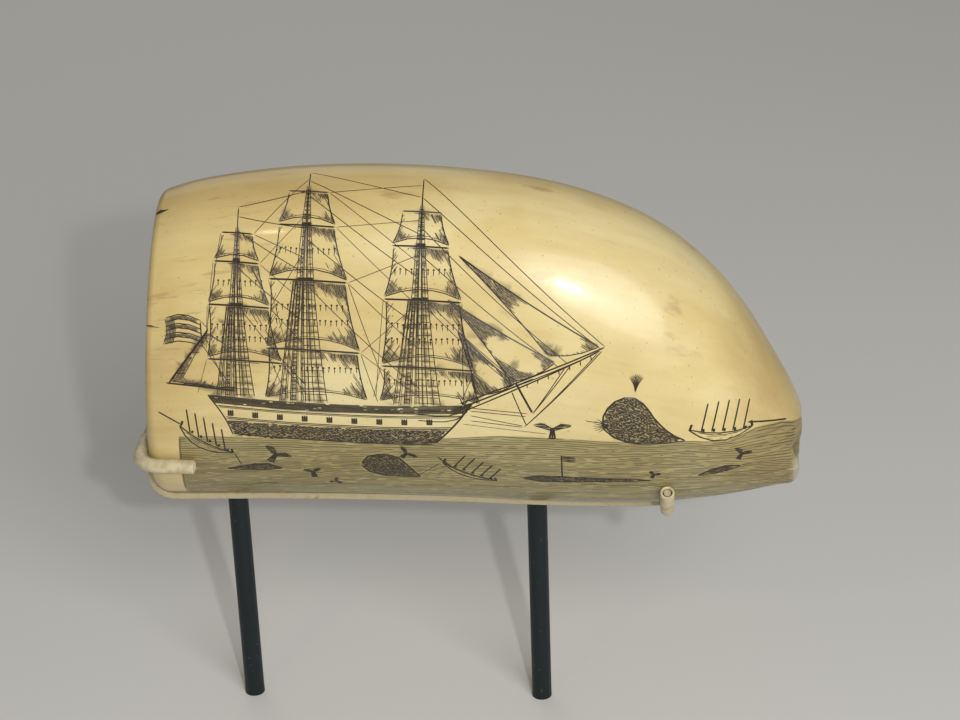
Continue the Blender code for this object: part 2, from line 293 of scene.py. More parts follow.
def far_from(line, points):
    """How far points lie from a line of points."""
    start, way = line[:-1], np.diff(line, axis=0)
    from_start = points[:, None] - start[None]
    share = np.clip((from_start * way).sum(-1) / (way**2).sum(-1), 0, 1)
    return np.linalg.norm(from_start - share[..., None] * way, axis=-1).min(axis=1)


def stretches(kept):
    """Where a row of yes and no says yes, as slices."""
    edges = np.flatnonzero(np.diff(np.concatenate([[0], kept.astype(int), [0]])))
    return [slice(a, b) for a, b in zip(edges[::2], edges[1::2])]


def draw(points, width, tone=INK, point=POINT_LENGTH, away=0.0):
    """One engraved line through points on the ground. Its ends run out over the length of a point, and away
    is the share of its width that it loses on the way."""
    points = np.asarray(points, float)
    run = lengths(points)
    if run[-1] < 0.2:
        return
    fine = np.linspace(0, run[-1], max(3, int(run[-1] / 0.4) + 2))
    line = np.stack([np.interp(fine, run, points[:, k]) for k in range(2)], axis=1)
    for piece in stretches(on_ground(line)):
        reach = fine[piece][-1] - fine[piece][0]
        if reach < 0.25:
            continue
        tip = min(point, reach * 0.3)
        steep = np.abs(np.diff(line[piece, 1])).sum() / reach
        step = LEVEL_STEP + (STEEP_STEP - LEVEL_STEP) * min(1, steep * 1.3)
        count = max(2, int(np.ceil((reach - 2 * tip) / step)) + 1)
        places = np.concatenate([[0], np.linspace(tip, reach - tip, count), [reach]]) + fine[piece][0]
        centre = np.stack([np.interp(places, run, points[:, k]) for k in range(2)], axis=1)
        half = width / 2 * (1 - away * places / run[-1])
        half[[0, -1]] = 0
        lines.append((centre, half, tone))


def blot(x, h, width, height, tone=INK, tilt=0.0):
    """A small filled mark, cut as one short wide stroke."""
    reach = np.array([-math.sin(tilt), math.cos(tilt)]) * height / 2
    draw([np.array([x, h]) - reach, np.array([x, h]) + reach], width, tone, 0.08)


def hatch(outline, direction, spacing, width, tone=FINE, broken=0.0, fade=None, gap=3):
    """Parallel lines across an outline. Broken is the chance of a gap at each place, and fade gives the
    chance that a line is cut at all there."""
    outline = np.asarray(outline, float)
    along = np.array([math.cos(direction), math.sin(direction)])
    side = np.array([-along[1], along[0]])
    reach = outline @ along
    offsets = outline @ side
    first = len(lines)
    for offset in np.arange(offsets.min() + spacing / 2, offsets.max(), spacing):
        places = np.arange(reach.min(), reach.max(), 0.2) + rng.uniform(0, 0.2)
        wander = offset + rng.normal(0, spacing * 0.12) + 0.05 * np.sin(places * 0.9 + rng.uniform(0, 6))
        points = np.outer(places, along) + np.outer(wander, side)
        kept = inside(outline, points)
        if fade is not None:
            kept &= fade(points) > rng.uniform(0, 1)
        if broken:
            kept &= np.repeat(rng.uniform(0, 1, len(points) // gap + 1) > broken, gap)[: len(points)]
        for piece in stretches(kept):
            if piece.stop - piece.start > 2:
                draw(points[piece], width * rng.uniform(0.75, 1.2), tone, 0.3)
    shaded.extend(lines[first:])


def mottle(outline, direction, tone=INK):
    """A dark hide or planking of short cuts that lie close, each turned a little its own way."""
    outline = np.asarray(outline, float)
    along = np.array([math.cos(direction), math.sin(direction)])
    side = np.array([-along[1], along[0]])
    reach, offsets = outline @ along, outline @ side
    first = len(lines)
    for offset in np.arange(offsets.min(), offsets.max(), 0.36):
        for place in np.arange(reach.min(), reach.max(), 0.62) + rng.uniform(0, 0.6):
            middle = along * (place + rng.normal(0, 0.1)) + side * (offset + rng.normal(0, 0.06))
            turn = direction + rng.normal(0, 0.38)
            half = np.array([math.cos(turn), math.sin(turn)]) * rng.uniform(0.28, 0.5)
            if inside(outline, np.array([middle - half, middle + half])).all() and rng.uniform() > 0.06:
                draw([middle - half, middle + half], rng.uniform(0.22, 0.34), tone, 0.12)
    shaded.extend(lines[first:])


def bowed(start, end, bow, steps=8):
    """Points from start to end along a shallow bow, which is positive to the left of the way."""
    start, end = np.asarray(start, float), np.asarray(end, float)
    t = np.linspace(0, 1, steps)[:, None]
    side = np.array([start[1] - end[1], end[0] - start[0]])
    side /= np.linalg.norm(side)
    return start + (end - start) * t + side * bow * 4 * t * (1 - t)


# The ship: three masts, each with its foot, head, size and the lift of its four yards. A sail is bare in the
# middle, shaded with strokes out of its corners and crossed by rows of reef points.
HULL_STERN, HULL_BOW = -35.8, 22.6
DECK = smooth_line(((-35.8, 92.5), (-20, 91.3), (-4, 90.8), (10, 90.9), (22.6, 91.7)), 8)
HULL_DEPTH = 10.6
YARD_SHARES = (0.865, 0.72, 0.50, 0.21)
YARD_REACH = (4.7, 6.6, 8.9, 10.6)
YARD_SHIFT = (0, 0, 0.6, 1.6)
YARD_WIDTH = (0.34, 0.38, 0.42, 0.42)
FOOT_ARCH = (1.5, 2.1, 2.4)
REEFS = ((), (0.42,), (0.34, 0.56), (0.34,))
SAIL_SHADE = (2.4, 3.4, 4.6, 3.8)
MASTS = (
    (-28.6, -30.4, 135.8, 0.80, 0.0),
    (-13.2, -15.0, 145.5, 1.0, 0.03),
    (12.0, 10.7, 144.2, 0.97, -0.03),
)


def deck(x):
    return np.interp(x, DECK[:, 0], DECK[:, 1])


def on_mast(mast, share):
    foot_x, head_x, head_h, _, _ = MASTS[mast]
    foot_h = deck(foot_x)
    return np.array([foot_x + (head_x - foot_x) * share, foot_h + (head_h - foot_h) * share])


def yard_end(mast, yard, side):
    """The end of a yard, on the left for a side of -1. The lower yards reach further to the right."""
    _, _, _, scale, lift = MASTS[mast]
    middle = on_mast(mast, YARD_SHARES[yard] + lift)
    reach = YARD_REACH[yard]
    return middle + (reach * scale * side + YARD_SHIFT[yard], -0.03 * reach * side)


def sail(upper_left, upper_right, lower_left, lower_right, arch, reefs, depth):
    """A square sail: its head lies along a yard, and its foot arches between two corners."""
    head = bowed(upper_left, upper_right, 0.1)
    foot = bowed(lower_left, lower_right, arch, 12)
    left = bowed(lower_left, upper_left, -0.5)
    right = bowed(upper_right, lower_right, -0.35)
    outline = np.vstack([left, head, right, foot[::-1]])
    for side, width in ((left, 0.27), (right, 0.3), (foot, 0.24)):
        draw(side, width)
    draw(foot[1:-1] + (0, 0.45), 0.15, FINE)
    middle = outline.mean(axis=0)
    height = outline[:, 1].max() - outline[:, 1].min()

    def corners(points):
        """Deepest in the lower corners, then in the upper right one and along both leeches."""
        to_left, to_right = far_from(left, points), far_from(right, points)
        to_foot, to_head = far_from(foot, points), far_from(head, points)
        low = 1.5 - (np.minimum(to_left, to_right) * 0.9 + to_foot) / depth
        high = 1.75 - (to_right * 0.42 + to_head * 1.1) / depth * 1.25
        leeches = 0.65 - np.minimum(to_left, to_right) * 1.5 / depth
        return np.maximum(np.maximum(low, high), leeches) * inside(outline, points)

    for direction, first in ((58, -1), (122, 1)):
        half = outline[:, 0].clip(*((-99, middle[0]) if first < 0 else (middle[0], 99)))
        part = np.stack([half, outline[:, 1]], axis=1)
        hatch(part, math.radians(direction), 0.31, 0.18, FINE, 0.02, corners)
        hatch(part, math.radians(180 - direction * 0.8), 0.4, 0.18, INK, 0.04, lambda p: corners(p) - 0.42)
    for reef in reefs:
        for x in np.arange(outline[:, 0].min() + 0.9, outline[:, 0].max() - 0.6, 1.22):
            h = outline[:, 1].max() - height * reef + rng.normal(0, 0.08)
            if inside(outline, np.array([[x, h - 0.6]]))[0]:
                blot(x, h, 0.44, 0.5)
                draw([(x, h), (x + rng.normal(0, 0.08), h - 1.35)], 0.2, INK, 0.9)


for mast, (foot_x, head_x, head_h, scale, lift) in enumerate(MASTS):
    for yard in range(4):
        upper = [yard_end(mast, yard, side * 0.93) - (0, 0.3) for side in (-1, 1)]
        if yard < 3:
            lower = [yard_end(mast, yard + 1, side * 0.98) + (0, 0.5) for side in (-1, 1)]
            arch = FOOT_ARCH[yard] * scale
        else:
            middle = on_mast(mast, 0) + (1.9, 1.2)
            lower = [middle + (side * 11.4 * scale, 0) for side in (-1, 1)]
            arch = 1.9 * scale
        if mast == 0 and yard == 3:
            continue  # the aftermost mast carries no sail on its lowest yard
        sail(*upper, *lower, arch, REEFS[yard], SAIL_SHADE[yard] * scale)
    for yard in range(4):
        left, right = (yard_end(mast, yard, side) for side in (-1, 1))
        draw(bowed(left, right, 0.12), YARD_WIDTH[yard])
        draw(bowed(left, right, 0.12)[2:-2] - (0, 0.42), 0.18)
    for side in (-1, 1):
        foot, crown = on_mast(mast, 0), on_mast(mast, 0.93)
        draw([foot + (side * 0.42, 0), on_mast(mast, 0.5) + (side * 0.34, 0), crown], 0.25)
    draw([on_mast(mast, 0.86), on_mast(mast, 1)], 0.26)
    tiers = (
        (0.0, 0.50 + lift, 1.0, 0.42, (-6.3, -5.1, -3.9, -2.6, -1.4, 1.5, 2.9, 4.4), 0.21),
        (0.47 + lift, 0.72 + lift, 0.44, 0.22, (-4.6, -2.8, -1.5, 1.5, 3.0, 4.6), 0.18),
        (0.70 + lift, 0.90 + lift, 0.26, 0.09, (-4.0, 4.0), 0.16),
    )
    for low_share, high_share, low_size, high_size, places, width in tiers:
        low_size, high_size = low_size * scale, high_size * scale
        foot, crown = on_mast(mast, low_share), on_mast(mast, high_share)
        first_line = len(lines)
        for place in places:
            draw([foot + (place * low_size, 0.1), crown + (place * high_size, 0)], width)
            if low_share == 0 and place < 0:
                draw([foot + (place * low_size + 0.42, 0.1), crown + (place * high_size + 0.1, 0)], 0.15)
        for first, last, rung, strength in (
            (places[0], places[1], 2.6, 0.15),
            (places[len(places) // 2 - 2], places[len(places) // 2 - 1], 0.95, 0.26),
            (places[len(places) // 2], places[-1], 1.5, 0.17),
        ):
            for h in np.arange(foot[1] + 0.8, crown[1] - 0.8, rung):
                share = (h - foot[1]) / (crown[1] - foot[1])
                x = foot[0] + (crown[0] - foot[0]) * share
                size = low_size + (high_size - low_size) * share
                lean = rng.normal(0, 0.06)
                draw([(x + first * size, h - lean), (x + last * size, h + lean)], strength, INK, 0.2)
        shaded.extend(lines[first_line:])
    for share, half in ((0.50 + lift, 1.9), (0.72 + lift, 1.2)):
        left = on_mast(mast, share) - (half * scale, -0.5)
        draw([left, left + (2 * half * scale, 0)], 0.5, INK, 0.3)

# The rigging between the masts: stays from mast to mast, braces from the yards' ends, and lines led down to
# the rail.
STAYS = ((1.0, 0.90), (0.95, 0.74), (0.88, 0.56), (0.70, 0.36), (0.52, 0.08))
BRACES = ((0, 0.96), (0, 0.62), (1, 0.80), (1, 0.44), (2, 0.66), (2, 0.26), (3, 0.47), (3, 0.04))
SHEETS = ((2, 3, 20.8, 92.4), (2, 2, 21.4, 92.2), (1, 3, 2.5, 91.6), (1, 2, 6.0, 91.8), (0, 3, -22, 92.2))
for after, before in ((0, 1), (1, 2)):
    for share, reached in STAYS:
        draw(bowed(on_mast(after, share), on_mast(before, reached), -0.2), 0.19)
    for yard, reached in BRACES:
        draw([yard_end(after, yard, 1), on_mast(before, reached)], 0.16, FINE if yard % 2 else INK)
for mast, yard, x, h in SHEETS:
    draw([yard_end(mast, yard, 1), (x, h)], 0.17)
    draw([yard_end(mast, yard, -1), (x - 20 * MASTS[mast][3], h + 0.4)], 0.15, FINE)
for yard in (0, 1, 2):
    draw([yard_end(0, yard, -1), (-36.0, 107.6 - 2 * yard)], 0.15, FINE)

# The bowsprit, the headsails set on its stays, and the chains below it.
SPRIT_ROOT, SPRIT_TIP = np.array([21.4, 91.6]), np.array([51.9, 106.0])
STRIKER_FOOT = np.array([36.4, 90.2])
STEM = np.array([21.2, 91.5])


def on_sprit(share):
    return SPRIT_ROOT + (SPRIT_TIP - SPRIT_ROOT) * share


draw([SPRIT_ROOT + (-1, 0.4), on_sprit(0.55) + (-0.1, 0.5), SPRIT_TIP], 0.36)
draw([SPRIT_ROOT + (0.6, -1.2), on_sprit(0.42) - (0, 0.8), on_sprit(0.97) - (0, 0.3)], 0.34)
draw([on_sprit(0.0) - (0.4, 0.5), on_sprit(0.5)], 0.4)
draw([on_sprit(0.30) - (0, 0.1), on_sprit(0.92) - (-0.1, 0.4)], 0.26)
for share in np.arange(0.45, 0.93, 0.075):
    draw([on_sprit(share) - (0, 0.5), on_sprit(share) - (-0.1, 1.6)], 0.26, INK, 0.2)
draw([on_sprit(0.38) + (-0.4, 0.8), STRIKER_FOOT], 0.5, INK, 0.3)
draw([on_sprit(0.34) - (0, 0.8), STRIKER_FOOT - (1.2, 3.6)], 0.26)
for share in (0.72, 0.76, 0.95, 0.98):
    draw([on_sprit(share) - (0, 0.5), STRIKER_FOOT - (1.8 * (share > 0.8), 0.3 + 3.6 * (share > 0.8))], 0.22)
for start_h, reach, drop in ((91.0, -1.0, 0.2), (90.2, -1.2, 1.0), (89.0, -1.8, 3.6), (87.6, -1.9, 3.9)):
    draw([(22.6, start_h), STRIKER_FOOT + (reach, -drop)], 0.2)
draw([(21.0, 86.6), (39.8, 84.6)], 0.16, FINE)
for share, place in ((1.0, 1.0), (0.9, 0.97), (0.77, 0.74), (0.66, 0.68), (0.50, 0.40), (0.47, 0.36)):
    draw(bowed(on_mast(2, share), on_sprit(place), -0.3), 0.2)
for turn in np.linspace(-2.6, 1.9, 10):
    away = np.array([math.cos(turn), math.sin(turn)])
    draw([STEM + away * 0.2, STEM + away * rng.uniform(2.0, 3.6)], 0.4, INK, 0.3, 0.8)
for drop in (1.4, 2.6, 4.2):
    rail = ((11.0, 91.4 - drop), (17.0, 91.2 - drop), (20.6, 91.2 - drop * 0.7), (23.6, 92.6))
    draw(smooth_line(rail, 5), 0.28)


def headsail(head, tack, clew, depth):
    """A jib: its luff runs down a stay to the tack, and its leech curves back to the clew."""
    luff = bowed(head, tack, -0.25)
    leech = bowed(clew, head, -depth)
    foot = bowed(tack, clew, 0.8)
    outline = np.vstack([luff, foot, leech])
    for side, width in ((luff, 0.32), (leech, 0.28), (foot, 0.26)):
        draw(side, width)
    head, tack, clew = (np.asarray(corner) for corner in (head, tack, clew))
    reach = np.linalg.norm(tack - head)
    fall = (tack - head) / reach
    belly = outline.mean(axis=0) * 0.5 + (head + (tack - head) * 0.62) * 0.2 + (clew + tack) * 0.15

    def shade(points):
        """Deep at the head, the tack and the clew, round a bare oval in the belly."""
        off = points - belly
        along, across = off @ fall, off @ np.array([-fall[1], fall[0]])
        return np.hypot(along / (reach * 0.24), across / (reach * 0.095)) ** 2.5 - 0.6

    direction = math.atan2(fall[1], fall[0])
    hatch(outline, direction, 0.32, 0.2, FINE, 0.04, shade)
    hatch(outline, direction - 0.35, 0.46, 0.18, INK, 0.08, lambda points: shade(points) - 0.4)


headsail((19.4, 126.0), (50.6, 106.1), (39.6, 104.2), 0.6)
headsail((17.4, 116.4), (41.2, 102.6), (31.6, 97.9), 0.6)
headsail((19.8, 109.4), (32.6, 97.5), (24.2, 94.4), 0.4)

# The spanker on the aftermost mast, and a plain striped flag at its peak.
PEAK, THROAT, BOOM_END, BOOM_MAST = (-36.2, 107.6), (-29.4, 103.2), (-44.6, 95.0), (-29.4, 93.6)
draw([BOOM_END, (-43.4, 97.0), PEAK, (-35.6, 108.6)], 0.44)
draw([(-45.4, 95.2), (-37, 94.5), BOOM_MAST], 0.44)
draw(bowed(PEAK, THROAT, 0.2), 0.36)
leech, boom = bowed((-43.9, 95.6), PEAK, 0.7), bowed((-43.9, 95.4), BOOM_MAST, 0.0)
spanker = np.vstack([leech, bowed(PEAK, THROAT, 0.1), bowed(THROAT, BOOM_MAST, 0), boom[::-1]])
for direction, spacing, tone, less in ((64, 0.34, FINE, 0.0), (5, 0.38, INK, 0.35), (-50, 0.5, FINE, 0.2)):

    def along_edges(points):
        return 1.25 - less - np.minimum(far_from(leech, points) / 2.4, far_from(boom, points) / 1.5)

    hatch(spanker, math.radians(direction), spacing, 0.2, tone, 0.04, along_edges)
draw(bowed((-44.2, 95.8), (-29.6, 94.4), -0.3), 0.22)
draw([(-37.4, 105.4), (-30.4, 95.0)], 0.2)
draw([(-36.4, 107.0), (-31.6, 95.0)], 0.18, FINE)
FLAG_STRIPES = 6
for k in range(FLAG_STRIPES + 1):
    drop = k * 1.02
    ripple = np.linspace(0, 1, 12)
    x = -45.6 + 8.3 * ripple + 0.25 * drop * (ripple - 0.3)
    h = 110.9 - drop + 0.75 * np.sin(ripple * 4.4 - 0.4)
    draw(np.stack([x, h], axis=1), 0.27)
    if k % 2 == 0 and k < FLAG_STRIPES:
        for sink in (0.3, 0.56, 0.8):
            draw(np.stack([x, h - sink], axis=1)[1:-1], 0.2, INK)
for inset in np.arange(0, 2.0, 0.33):
    draw(bowed((-45.8 + inset, 110.7), (-45.9 + inset, 104.6), 0.7), 0.24)
draw(bowed((-37.5, 110.3), (-36.9, 105.0), -0.1), 0.3)
draw([(-37.5, 110.4), (-35.6, 108.4)], 0.2)


def hull_ends(drop):
    """Where the stern and the bow lie at a depth below the deck."""
    share = drop / HULL_DEPTH
    return HULL_STERN + 5.6 * share + 0.8 * math.sin(share * 3.1), HULL_BOW - 7.6 * share**1.25


def below_deck(x, drop):
    return np.stack([x, deck(x) - drop], axis=1)


def strake(drop, width, tone=INK, gaps=0.0, point=POINT_LENGTH):
    """A line along the hull at a depth below the deck."""
    first = len(lines)
    stern, bow = hull_ends(drop)
    x = np.arange(stern, bow, 0.3)
    line = below_deck(x, drop * (1 + 0.0016 * (x + 6)))
    kept = rng.uniform(0, 1, len(x)) >= gaps
    for piece in stretches(kept):
        if piece.stop - piece.start > 1:
            draw(line[piece], width, tone, point)
    if gaps:
        shaded.extend(lines[first:])


for drop in np.arange(0.1, 2.1, 0.27):
    strake(drop, 0.24, INK, 0.02, 0.15)
for drop, width in ((2.75, 0.26), (3.1, 0.18), (5.75, 0.26), (6.15, 0.24)):
    strake(drop, width)
BOTTOM_DROP = 6.4
drops = np.linspace(BOTTOM_DROP, HULL_DEPTH, 6)
ends = np.array([hull_ends(drop) for drop in drops])
bottom = [
    below_deck(np.linspace(*ends[0], 20), BOTTOM_DROP),
    below_deck(ends[:, 1], drops),
    below_deck(np.linspace(*ends[-1], 20)[::-1], HULL_DEPTH),
    below_deck(ends[::-1, 0], drops[::-1]),
]
mottle(np.vstack(bottom), -0.02)
strake(HULL_DEPTH - 0.05, 0.3)
PORTS = 9
for k in range(PORTS):
    x = -30.6 + k * 5.55
    blot(x, deck(x) - 4.45, 1.35, 1.5, FINE)
    for slip in (-0.5, 0.0, 0.5):
        blot(x + slip, deck(x) - 4.3, 0.26, 1.7, INK)
drops = np.linspace(0, HULL_DEPTH, 9)
ends = np.array([hull_ends(drop) for drop in drops])
stern, bow = (below_deck(ends[:, side], drops) for side in (0, 1))
draw(stern, 0.34)
draw(bow, 0.44)
covered.append(np.vstack([stern, bow[::-1]]))


# The whales, each a rounded back with a mottled hide, and their flukes.
def whale(back, belly):
    """A whale, drawn as its back from head to tail and its belly from tail to head."""
    back, belly = smooth_line(back, 5), smooth_line(belly, 5)
    draw(back, 0.42)
    draw(belly, 0.34)
    outline = np.vstack([back, belly])
    covered.append(outline)
    mottle(outline, math.atan2(*(back[-1] - back[0])[::-1]))


def flukes(x, h, size, lean, spread):
    """A tail held up out of the sea, with two leaf-shaped blades."""
    turn = np.array([[math.cos(lean), -math.sin(lean)], [math.sin(lean), math.cos(lean)]])

    def placed(points):
        return np.asarray(points, float) @ turn * size + (x, h)

    for place in (-0.16, 0.0, 0.16):
        draw(placed([(place * 1.6, 0), (place, 0.6), (place * 0.5, 1.25)]), 0.34 + 0.05 * size, INK, 0.3)
    for side in (-1, 1):
        tip = (1.75 * side * spread, 1.45)
        over, under = bowed((0, 1.0), tip, 0.42 * side), bowed((0, 0.9), tip, -0.02 * side)
        draw(placed(over), 0.3)
        draw(placed(under), 0.26)
        hatch(placed(np.vstack([over, under[::-1]])), 0.1 * side - lean, 0.27, 0.26, INK, 0.05, gap=2)
    draw(placed([(-0.5, -0.1), (0, 0.15), (0.5, -0.1)]), 0.3)


whale(
    (
        (51.7, 86.6), (51.9, 90.0), (54.2, 93.2), (57.6, 94.2),
        (60.3, 92.6), (63.2, 88.2), (66.8, 84.2), (69.8, 82.3),
    ),
    ((69.8, 82.3), (60.0, 82.0), (56.0, 82.9), (53.2, 84.6), (51.7, 86.6)),
)
for lean in np.linspace(-0.75, 0.85, 11):
    top = (58.7 + 2.3 * math.sin(lean), 97.2 + 2.6 * math.cos(lean))
    draw(bowed((58.6, 95.3), top, 0.35 * np.sign(lean)), 0.2, INK if abs(lean) > 0.3 else FINE)
for turn in np.linspace(2.4, 4.0, 7):
    draw([(53.0, 87.0), (53.0 + 3.6 * math.cos(turn), 87.2 + 2.6 * math.sin(turn))], 0.34, INK, 0.3, 0.7)
whale(
    ((-1.6, 73.0), (-0.6, 75.4), (3.0, 76.6), (6.6, 75.8), (9.0, 72.6), (11.6, 68.6)),
    ((11.6, 68.6), (6.0, 68.6), (1.6, 69.4), (-1.0, 71.2), (-1.6, 73.0)),
)
whale(
    ((-32.4, 70.2), (-28.0, 71.4), (-24.0, 72.4), (-21.6, 72.0), (-19.4, 70.6)),
    ((-19.4, 70.6), (-25.0, 69.9), (-32.4, 70.2)),
)
whale(
    ((34.0, 69.8), (36.4, 70.9), (42.0, 70.9), (50.0, 70.6), (58.0, 70.6), (62.6, 70.0)),
    ((62.6, 70.0), (52.0, 69.4), (42.0, 68.8), (36.0, 69.0), (34.0, 69.8)),
)
whale(
    ((72.6, 71.0), (75.0, 72.6), (78.4, 73.6), (82.2, 73.0)),
    ((82.2, 73.0), (77.6, 71.6), (72.6, 71.0)),
)
for tail in (
    (40.8, 83.4, 2.45, 0.0, 1.0),
    (-22.2, 73.2, 2.7, 0.55, 0.75),
    (-12.4, 67.4, 2.1, -0.15, 0.6),
    (-6.6, 64.8, 1.4, -0.9, 0.7),
    (7.4, 75.8, 1.7, 0.75, 0.9),
    (62.6, 71.0, 1.3, 0.4, 0.7),
    (81.4, 75.2, 1.7, 0.5, 0.8),
):
    flukes(*tail)
draw([(43.0, 70.8), (42.8, 78.4)], 0.36, INK, 0.2)
for drop in (0.1, 0.5, 1.0, 1.5):
    draw([(42.9, 78.0 - drop), (46.0, 77.8 - drop)], 0.3, INK, 0.2)


# The whaleboats, double-ended, with their oars peaked and a steering oar.
def whaleboat(stern, bow, depth, oar_lean, oar_length, steering):
    stern, bow = np.asarray(stern, float), np.asarray(bow, float)
    rail = bowed(stern, bow, -depth * 0.45)
    keel = bowed(stern, bow, -depth * 1.35)
    draw(rail, 0.34)
    draw((rail * 0.75 + keel * 0.25)[1:-1], 0.18)
    draw(keel, 0.34)
    outline = np.vstack([rail, keel[::-1]])
    covered.append(outline)
    hatch(outline, math.atan2(*(bow - stern)[::-1]), 0.5, 0.14, FINE, 0.25)
    for share in np.linspace(0.2, 0.84, 5):
        seat = stern + (bow - stern) * share - (0, depth * 0.3)
        blot(seat[0] + 0.5, seat[1] + 0.4, 0.55, 0.9, INK, rng.uniform(-0.4, 0.4))
        reach = oar_length * (0.9 + 0.16 * math.sin(share * 3.1))
        draw([seat, seat + (math.sin(oar_lean) * reach, math.cos(oar_lean) * reach)], 0.36, INK, 0.4)
    for end, lean in ((stern + (0.6, 0.5), -0.3), (bow + (-0.4, 0.6), 0.2)):
        blot(end[0], end[1], 0.55, 1.5, INK, lean)
    draw(steering, 0.38, INK, 0.5)


whaleboat((-42.4, 84.0), (-30.2, 75.8), 2.3, -0.10, 7.0, [(-47.2, 87.6), (-42.0, 84.2)])
draw([(-30.2, 75.8), (-28.6, 71.6)], 0.26)
whaleboat((16.4, 74.6), (28.6, 68.2), 1.5, 0.58, 5.2, [(15.4, 76.4), (19.0, 72.6)])
draw([(16.0, 74.2), (10.6, 69.0)], 0.2)
whaleboat((70.2, 85.2), (84.6, 83.4), 2.3, 0.19, 7.2, [(83.2, 84.6), (92.2, 81.7)])
draw(bowed((47.8, 88.6), (52.4, 88.0), -0.5), 0.22)

# The sea: rows of level cuts from a sharp left edge to the tip, broken for whales, boats and foam.
SEA_LEFT = -42.6
SEA_FLOOR = 57.6
SHORE = (
    (-50, 80.4), (-36, 80.9), (-9, 80.8), (20, 82.6), (29, 83.6), (38, 83.6), (49, 83.0),
    (69, 82.3), (80, 81.2), (84.5, 82.5), (90, 82.0), (94, 80.4), (100, 79.0),
)
row = 0.15
while row < 26:
    x = np.arange(SEA_LEFT, 94.5, 0.25)
    swell = 0.16 * np.sin(x * 0.31 + row * 0.9) + 0.08 * np.sin(x * 0.9 + row * 2.1)
    settle = np.clip(row / 6, 0, 1)
    level = 77.2 - row * 0.84 + 0.05 * (x + 40) * (1 - row / 60) - 0.0034 * np.clip(x - 48, 0, None) ** 2
    h = (np.interp(x, *zip(*SHORE)) - row) * (1 - settle) + level * settle + swell
    points = np.stack([x, h], axis=1)
    kept = h > SEA_FLOOR
    for outline in covered:
        kept &= ~inside(outline, points)
    for place in np.cumsum(rng.exponential(9.0, 40) + 2.0):
        kept &= np.abs(x - (SEA_LEFT + place)) > rng.uniform(0.15, 0.8)
    for piece in stretches(kept):
        if piece.stop - piece.start > 4:
            draw(points[piece], rng.uniform(0.12, 0.22), FINE if rng.uniform() < 0.88 else INK)
    row += 0.46 + row * 0.007
for slip in (0, 0.25):
    draw(np.stack([np.full(12, SEA_LEFT + slip), np.linspace(60.0, 80.4, 12)], axis=1), 0.16, FINE)

# Two short cracks run in from the edge of the root.
for start, end, width in (((-50.2, 134.3), (-46.9, 135.0), 0.5), ((-50.2, 108.6), (-46.8, 108.3), 0.36)):
    crack = bowed(start, end, 0.2)
    draw(crack, width, INK, 0.2, 0.7)
    draw(crack[:5], width * 0.8)


# The engraved skin: the lines are cut into the tooth's mesh, so that each has its own faces and depth.
ground = [(s, a) for s in range(1, ground_end + 1) for a in range(GROUND_FIRST, GROUND_LAST + 1)]
corners = [ground_grid[s, a] for s, a in ground]
number = {place: k for k, place in enumerate(ground)}
border = (
    [(s, GROUND_FIRST) for s in range(1, ground_end)]
    + [(ground_end, a) for a in range(GROUND_FIRST, GROUND_LAST)]
    + [(s, GROUND_LAST) for s in range(ground_end, 1, -1)]
    + [(1, a) for a in range(GROUND_LAST, GROUND_FIRST, -1)]
)
border_edges = [(number[p], number[q]) for p, q in zip(border, border[1:] + border[:1])]
cuts, cut_start, cut_end, cut_half, cut_tone = [], [], [], [], []
for centre, half, tone in lines:
    along = np.gradient(centre, axis=0)
    along /= np.maximum(np.linalg.norm(along, axis=1), 1e-9)[:, None]
    side = np.stack([-along[:, 1], along[:, 0]], axis=1) * half[:, None]
    sloping = half.max() * 2 > THIN and lengths(centre)[-1] > SHORTEST_SLOPING
    first = len(corners)
    rows = []
    for k in range(len(centre)):
        if half[k] == 0:
            rows.append((first, first, first))
            corners.append(centre[k])
            first += 1
            continue
        rows.append((first, first + 2 if sloping else None, first + 1))
        corners += [centre[k] - side[k], centre[k] + side[k]] + ([centre[k]] if sloping else [])
        first += 3 if sloping else 2
    for k in range(len(centre) - 1):
        near, far = rows[k], rows[k + 1]
        if sloping:
            shapes = ((near[0], far[0], far[1], near[1]), (near[1], far[1], far[2], near[2]))
        else:
            shapes = ((near[0], far[0], far[2], near[2]),)
        for shape in shapes:
            cuts.append(list(dict.fromkeys(shape)))
            cut_start.append(centre[k])
            cut_end.append(centre[k + 1])
            cut_half.append((half[k], half[k + 1]))
            cut_tone.append(tone)
flat_places, _, triangles, place_sources, _, triangle_sources = delaunay_2d_cdt(
    [Vector(place) for place in corners], border_edges, cuts, 1, 1e-4, True
)
flat_places = np.array([tuple(place) for place in flat_places])
triangles = np.array(triangles)
pair_triangle = np.repeat(np.arange(len(triangles)), [len(found) for found in triangle_sources])
pair_cut = np.array([cut for found in triangle_sources for cut in found], int)
cut_start, cut_end = np.array(cut_start), np.array(cut_end)
cut_half, cut_tone = np.array(cut_half), np.array(cut_tone)


def room_in_cut(points, cut):
    """How far points lie inside a cut's edge."""
    way = cut_end[cut] - cut_start[cut]
    reach = np.linalg.norm(way, axis=1)
    from_start = points - cut_start[cut]
    share = np.clip((from_start * way).sum(1) / reach**2, 0, 1)
    off = np.abs(way[:, 0] * from_start[:, 1] - way[:, 1] * from_start[:, 0]) / reach
    return cut_half[cut, 0] + (cut_half[cut, 1] - cut_half[cut, 0]) * share - off


